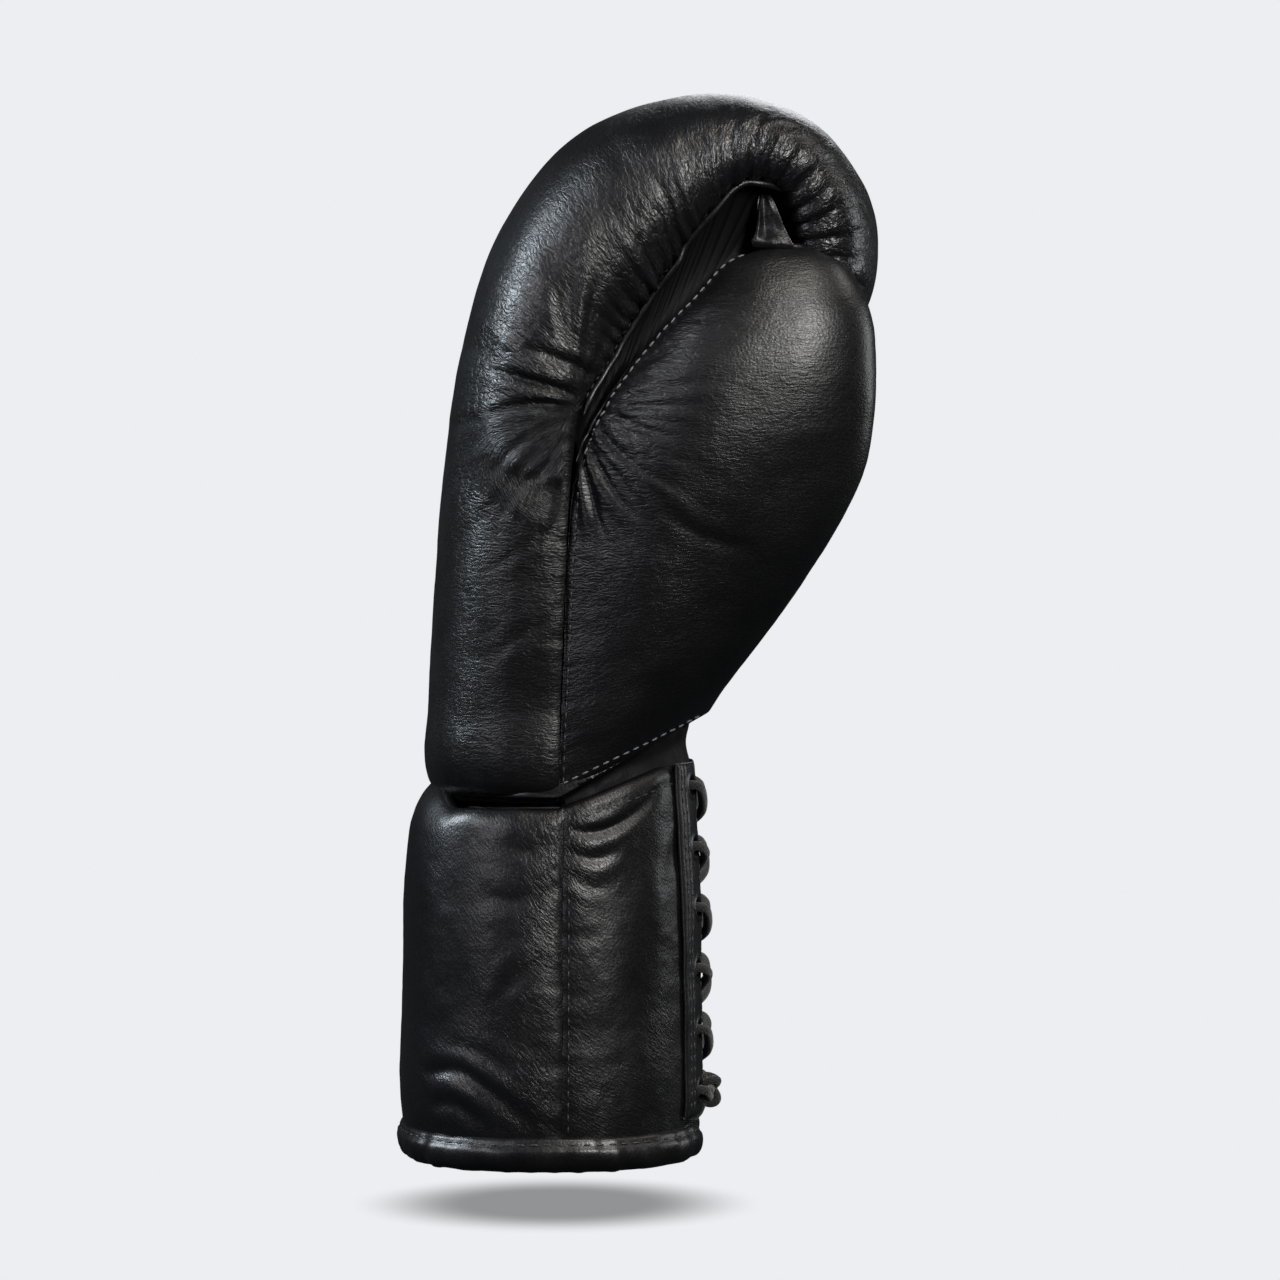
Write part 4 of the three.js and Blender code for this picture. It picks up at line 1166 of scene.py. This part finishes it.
def lace_half(start):
    points = []
    bridge = -0.4 if start > 0 else 2.6
    for k in range(EYELET_ROWS):
        sign = start * (-1 if k % 2 else 1)
        z = EYELET_TOP - k * EYELET_PITCH
        below = z - EYELET_PITCH
        points.append(on_palm_side(sign * (EYELET_Y - 3), z, UNDER))
        points.append(on_palm_side(sign * EYELET_Y, z, UNDER + 1.2))
        points.append(on_palm_side(sign * EYELET_Y, z, OVER - 0.4))
        points.append(on_palm_side(sign * (THROAT + 1), z + (below - z) * 0.16, OVER))
        if k == EYELET_ROWS - 1:
            break
        points.append(on_palm_side(0, (z + below) / 2, bridge))
        points.append(on_palm_side(-sign * 10.2, z + (below - z) * 0.8, UNDER + 0.2))
    return points


KNOT_Z = EYELET_TOP - (EYELET_ROWS - 1) * EYELET_PITCH - 1.5


def lace_pieces():
    def into_knot(sign):
        return [on_palm_side(sign * (THROAT + 1), KNOT_Z, OVER), on_palm_side(sign * 5, KNOT_Z, OVER)]

    route = into_knot(1)[::-1] + lace_half(-1)[::-1] + [on_palm_side(0, EYELET_TOP, UNDER)]
    route += lace_half(1) + into_knot(-1)
    made = tube_object("lace_cord", rounded(route, 900), LACE_RADIUS, 12)
    finish(made, braid, "cuff", ("lace",))
    middle = np.array(on_palm_side(3, KNOT_Z, OVER))
    middle[1] = 0
    turn = np.linspace(0, 2 * np.pi, 200)
    loops = np.stack(
        [
            1.9 * np.sin(3 * turn),
            4.6 * (np.sin(turn) + 0.55 * np.sin(2 * turn)) / 1.3,
            3.9 * (np.cos(turn) - 0.85 * np.cos(2 * turn)) / 1.5,
        ],
        1,
    )
    made = tube_object("lace_knot_cord", middle + loops, LACE_RADIUS, 12)
    finish(made, braid, "cuff", ("lace_knot",))
    for label, sign in (("thumb_side", -1), ("outer_side", 1)):
        tail = [
            (2.2, KNOT_Z - 4.5, 1.5), (2.6, KNOT_Z - 7.2, 0.4), (3.2, KNOT_Z - 8.6, -1.6),
            (3.6, KNOT_Z - 7, -3.4), (3.6, KNOT_Z - 1, -3.8), (3.4, 44, -3.8), (3.4, 68, -3.8),
        ]  # fmt: skip
        path = [on_palm_side(sign * y, z, rise) for y, z, rise in tail]
        made = tube_object("lace_end_" + label, rounded(path, 160), LACE_RADIUS, 12)
        finish(made, braid, "cuff", ("lace_tail_" + label,))
        path = [on_palm_side(sign * 3.4, z, -3.8) for z in np.linspace(67.5, 82, 12)]
        made = tube_object("lace_end_tip_" + label, path, LACE_RADIUS * 0.92, 12)
        finish(made, tip_plastic, "cuff", ("lace_tip_" + label,))


lace_pieces()

# ------------------------------------------------------------------ seams and their stitches


def thumb_seams():
    column = nearest(thumb_q[60], 1.3)
    # The thumb's web and bottom seams use the lighter thread, whose tone is a painted glint.
    for name, low, high, yarn in (("heel", 0.01, 0.45, thread_dark), ("web", 0.45, 0.965, thread)):
        part = (t_thumb > low) & (t_thumb < high), column
        path, up = thumb[part], thumb_normal[part]
        bend_thumb(stitches("stitches_thumb_" + name, path, up, 2.2, 0.9, 0.3, 0.15, yarn))
    part = (t_knuckle > 0.345) & (t_knuckle < 0.69), nearest(knuckle_q[180], 1.2)
    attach(stitches("stitches_knuckle_web", knuckle[part], knuckle_normal[part], 1.8, 0.9, 0.24), "fist")
    path, up = thumb[9, 4:150], thumb_normal[9, 4:150]
    bend_thumb(stitches("stitches_thumb_bottom", path, up, 2.2, 1.0, 0.28, yarn=thread))


thumb_seams()


def cuff_seams():
    seam, top = np.s_[6:-14, 4], np.s_[-24, 6:-4]
    for label, (p, n) in sides.items():
        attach(stitches("stitches_cuff_seam_" + label, p[seam], n[seam], 2.3, 1.1, 0.28), "cuff")
        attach(stitches("stitches_cuff_top_" + label, p[top], n[top], 2.1, 1.0, 0.24), "cuff")


cuff_seams()

# ------------------------------------------------------------------ studio

PAPER = (0.84, 0.855, 0.88)
FLOOR_Z = -0.0165  # the photo shows the glove a little above its shadow


def studio():
    scene = bpy.context.scene
    camera = bpy.data.cameras.new("camera")
    camera.lens, camera.sensor_width = 100, 36
    eye = bpy.data.objects.new("camera", camera)
    scene.collection.objects.link(eye)
    eye.location = (0.0008, -1.07, 0.153)
    eye.rotation_euler = (math.radians(90), 0, 0)
    camera.clip_start, camera.clip_end = 0.05, 20
    scene.camera = eye

    scene.view_settings.view_transform = "Standard"
    world = bpy.data.worlds.new("world")
    scene.world = world
    world.use_nodes = True
    tree = world.node_tree
    glow = tree.nodes["Background"]
    glow.inputs["Color"].default_value = (0.84, 0.92, 1.0, 1)
    glow.inputs["Strength"].default_value = 0.02
    paper_glow = node(tree, "ShaderNodeBackground", Color=(*PAPER, 1), Strength=1.0)
    seen = tree.nodes.new("ShaderNodeLightPath").outputs["Is Camera Ray"]
    mixed = tree.nodes.new("ShaderNodeMixShader")
    for slot, source in zip(mixed.inputs, (seen, glow.outputs[0], paper_glow.outputs[0])):
        tree.links.new(source, slot)
    tree.links.new(mixed.outputs[0], tree.nodes["World Output"].inputs["Surface"])

    # The floor glows at the paper's tone and takes no lamp light; the shadow under the glove is a painted
    # oval.
    paper, tree, shader = new_material("paper", 0.9, 0.0)
    tree.nodes.remove(shader)
    place = tree.nodes.new("ShaderNodeTexCoord").outputs["Object"]
    oval = dict(Location=(0.52, 0, 0), Scale=(1 / 0.047, 1 / 0.042, 0))
    flat = node(tree, "ShaderNodeMapping", **oval, Vector=place)
    away = node(tree, "ShaderNodeVectorMath", _operation="LENGTH")
    tree.links.new(flat.outputs["Vector"], away.inputs[0])
    shadow = ramp(tree, away.outputs["Value"], (0.55, 1.35, 0.34, 1.0))
    shadow.node.interpolation_type = "SMOOTHSTEP"
    floor_glow = node(tree, "ShaderNodeEmission", Color=tone_between(tree, shadow, (0, 0, 0), PAPER))
    tree.links.new(floor_glow.outputs[0], tree.nodes["Material Output"].inputs["Surface"])
    points = np.array([[(x, y, FLOOR_Z) for x in (-3.0, 3.0)] for y in (-3.0, 3.0)])
    ground = mesh_object("floor", points.reshape(-1, 3), grid_faces(2, 2))
    ground.data.materials.append(paper)
    ground.visible_glossy = False
    ground.visible_diffuse = False

    def softbox(name, azimuth, elevation, size, watts, tint):
        """A soft panel 1.5 m from the glove, at an azimuth from the camera's side, right positive."""
        turn, climb = math.radians(azimuth), math.radians(elevation)
        way = Vector((math.sin(turn) * math.cos(climb), -math.cos(turn) * math.cos(climb), math.sin(climb)))
        lamp = bpy.data.lights.new(name, "AREA")
        lamp.shape, lamp.size, lamp.size_y = "RECTANGLE", size[0], size[1]
        lamp.energy, lamp.color = watts, tint
        made = bpy.data.objects.new(name, lamp)
        made.location = Vector((0.02, 0, 0.2)) + way * 1.5
        made.rotation_euler = (-way).to_track_quat("-Z", "Y").to_euler()
        scene.collection.objects.link(made)

    softbox("front", 27, 18, (0.27, 0.46), 16.5, (1.0, 0.99, 0.97))
    softbox("above", 30, 55, (0.34, 0.45), 9.0, (1.0, 0.94, 0.86))
    softbox("key", -90, 25, (0.28, 0.55), 21.0, (0.82, 0.92, 1.0))
    softbox("side", -56, 25, (0.30, 0.50), 5.5, (0.94, 0.95, 1.0))
    softbox("low", -40, 10, (0.34, 0.40), 2.6, (0.95, 0.88, 1.0))
    softbox("rim", 100, 45, (0.45, 0.45), 2.6, (1.0, 0.93, 0.86))
    softbox("behind", 172, 30, (0.50, 0.60), 3.0, (0.95, 0.97, 1.0))
    softbox("palm", 112, 8, (0.50, 0.60), 3.5, (0.97, 0.98, 1.0))


studio()
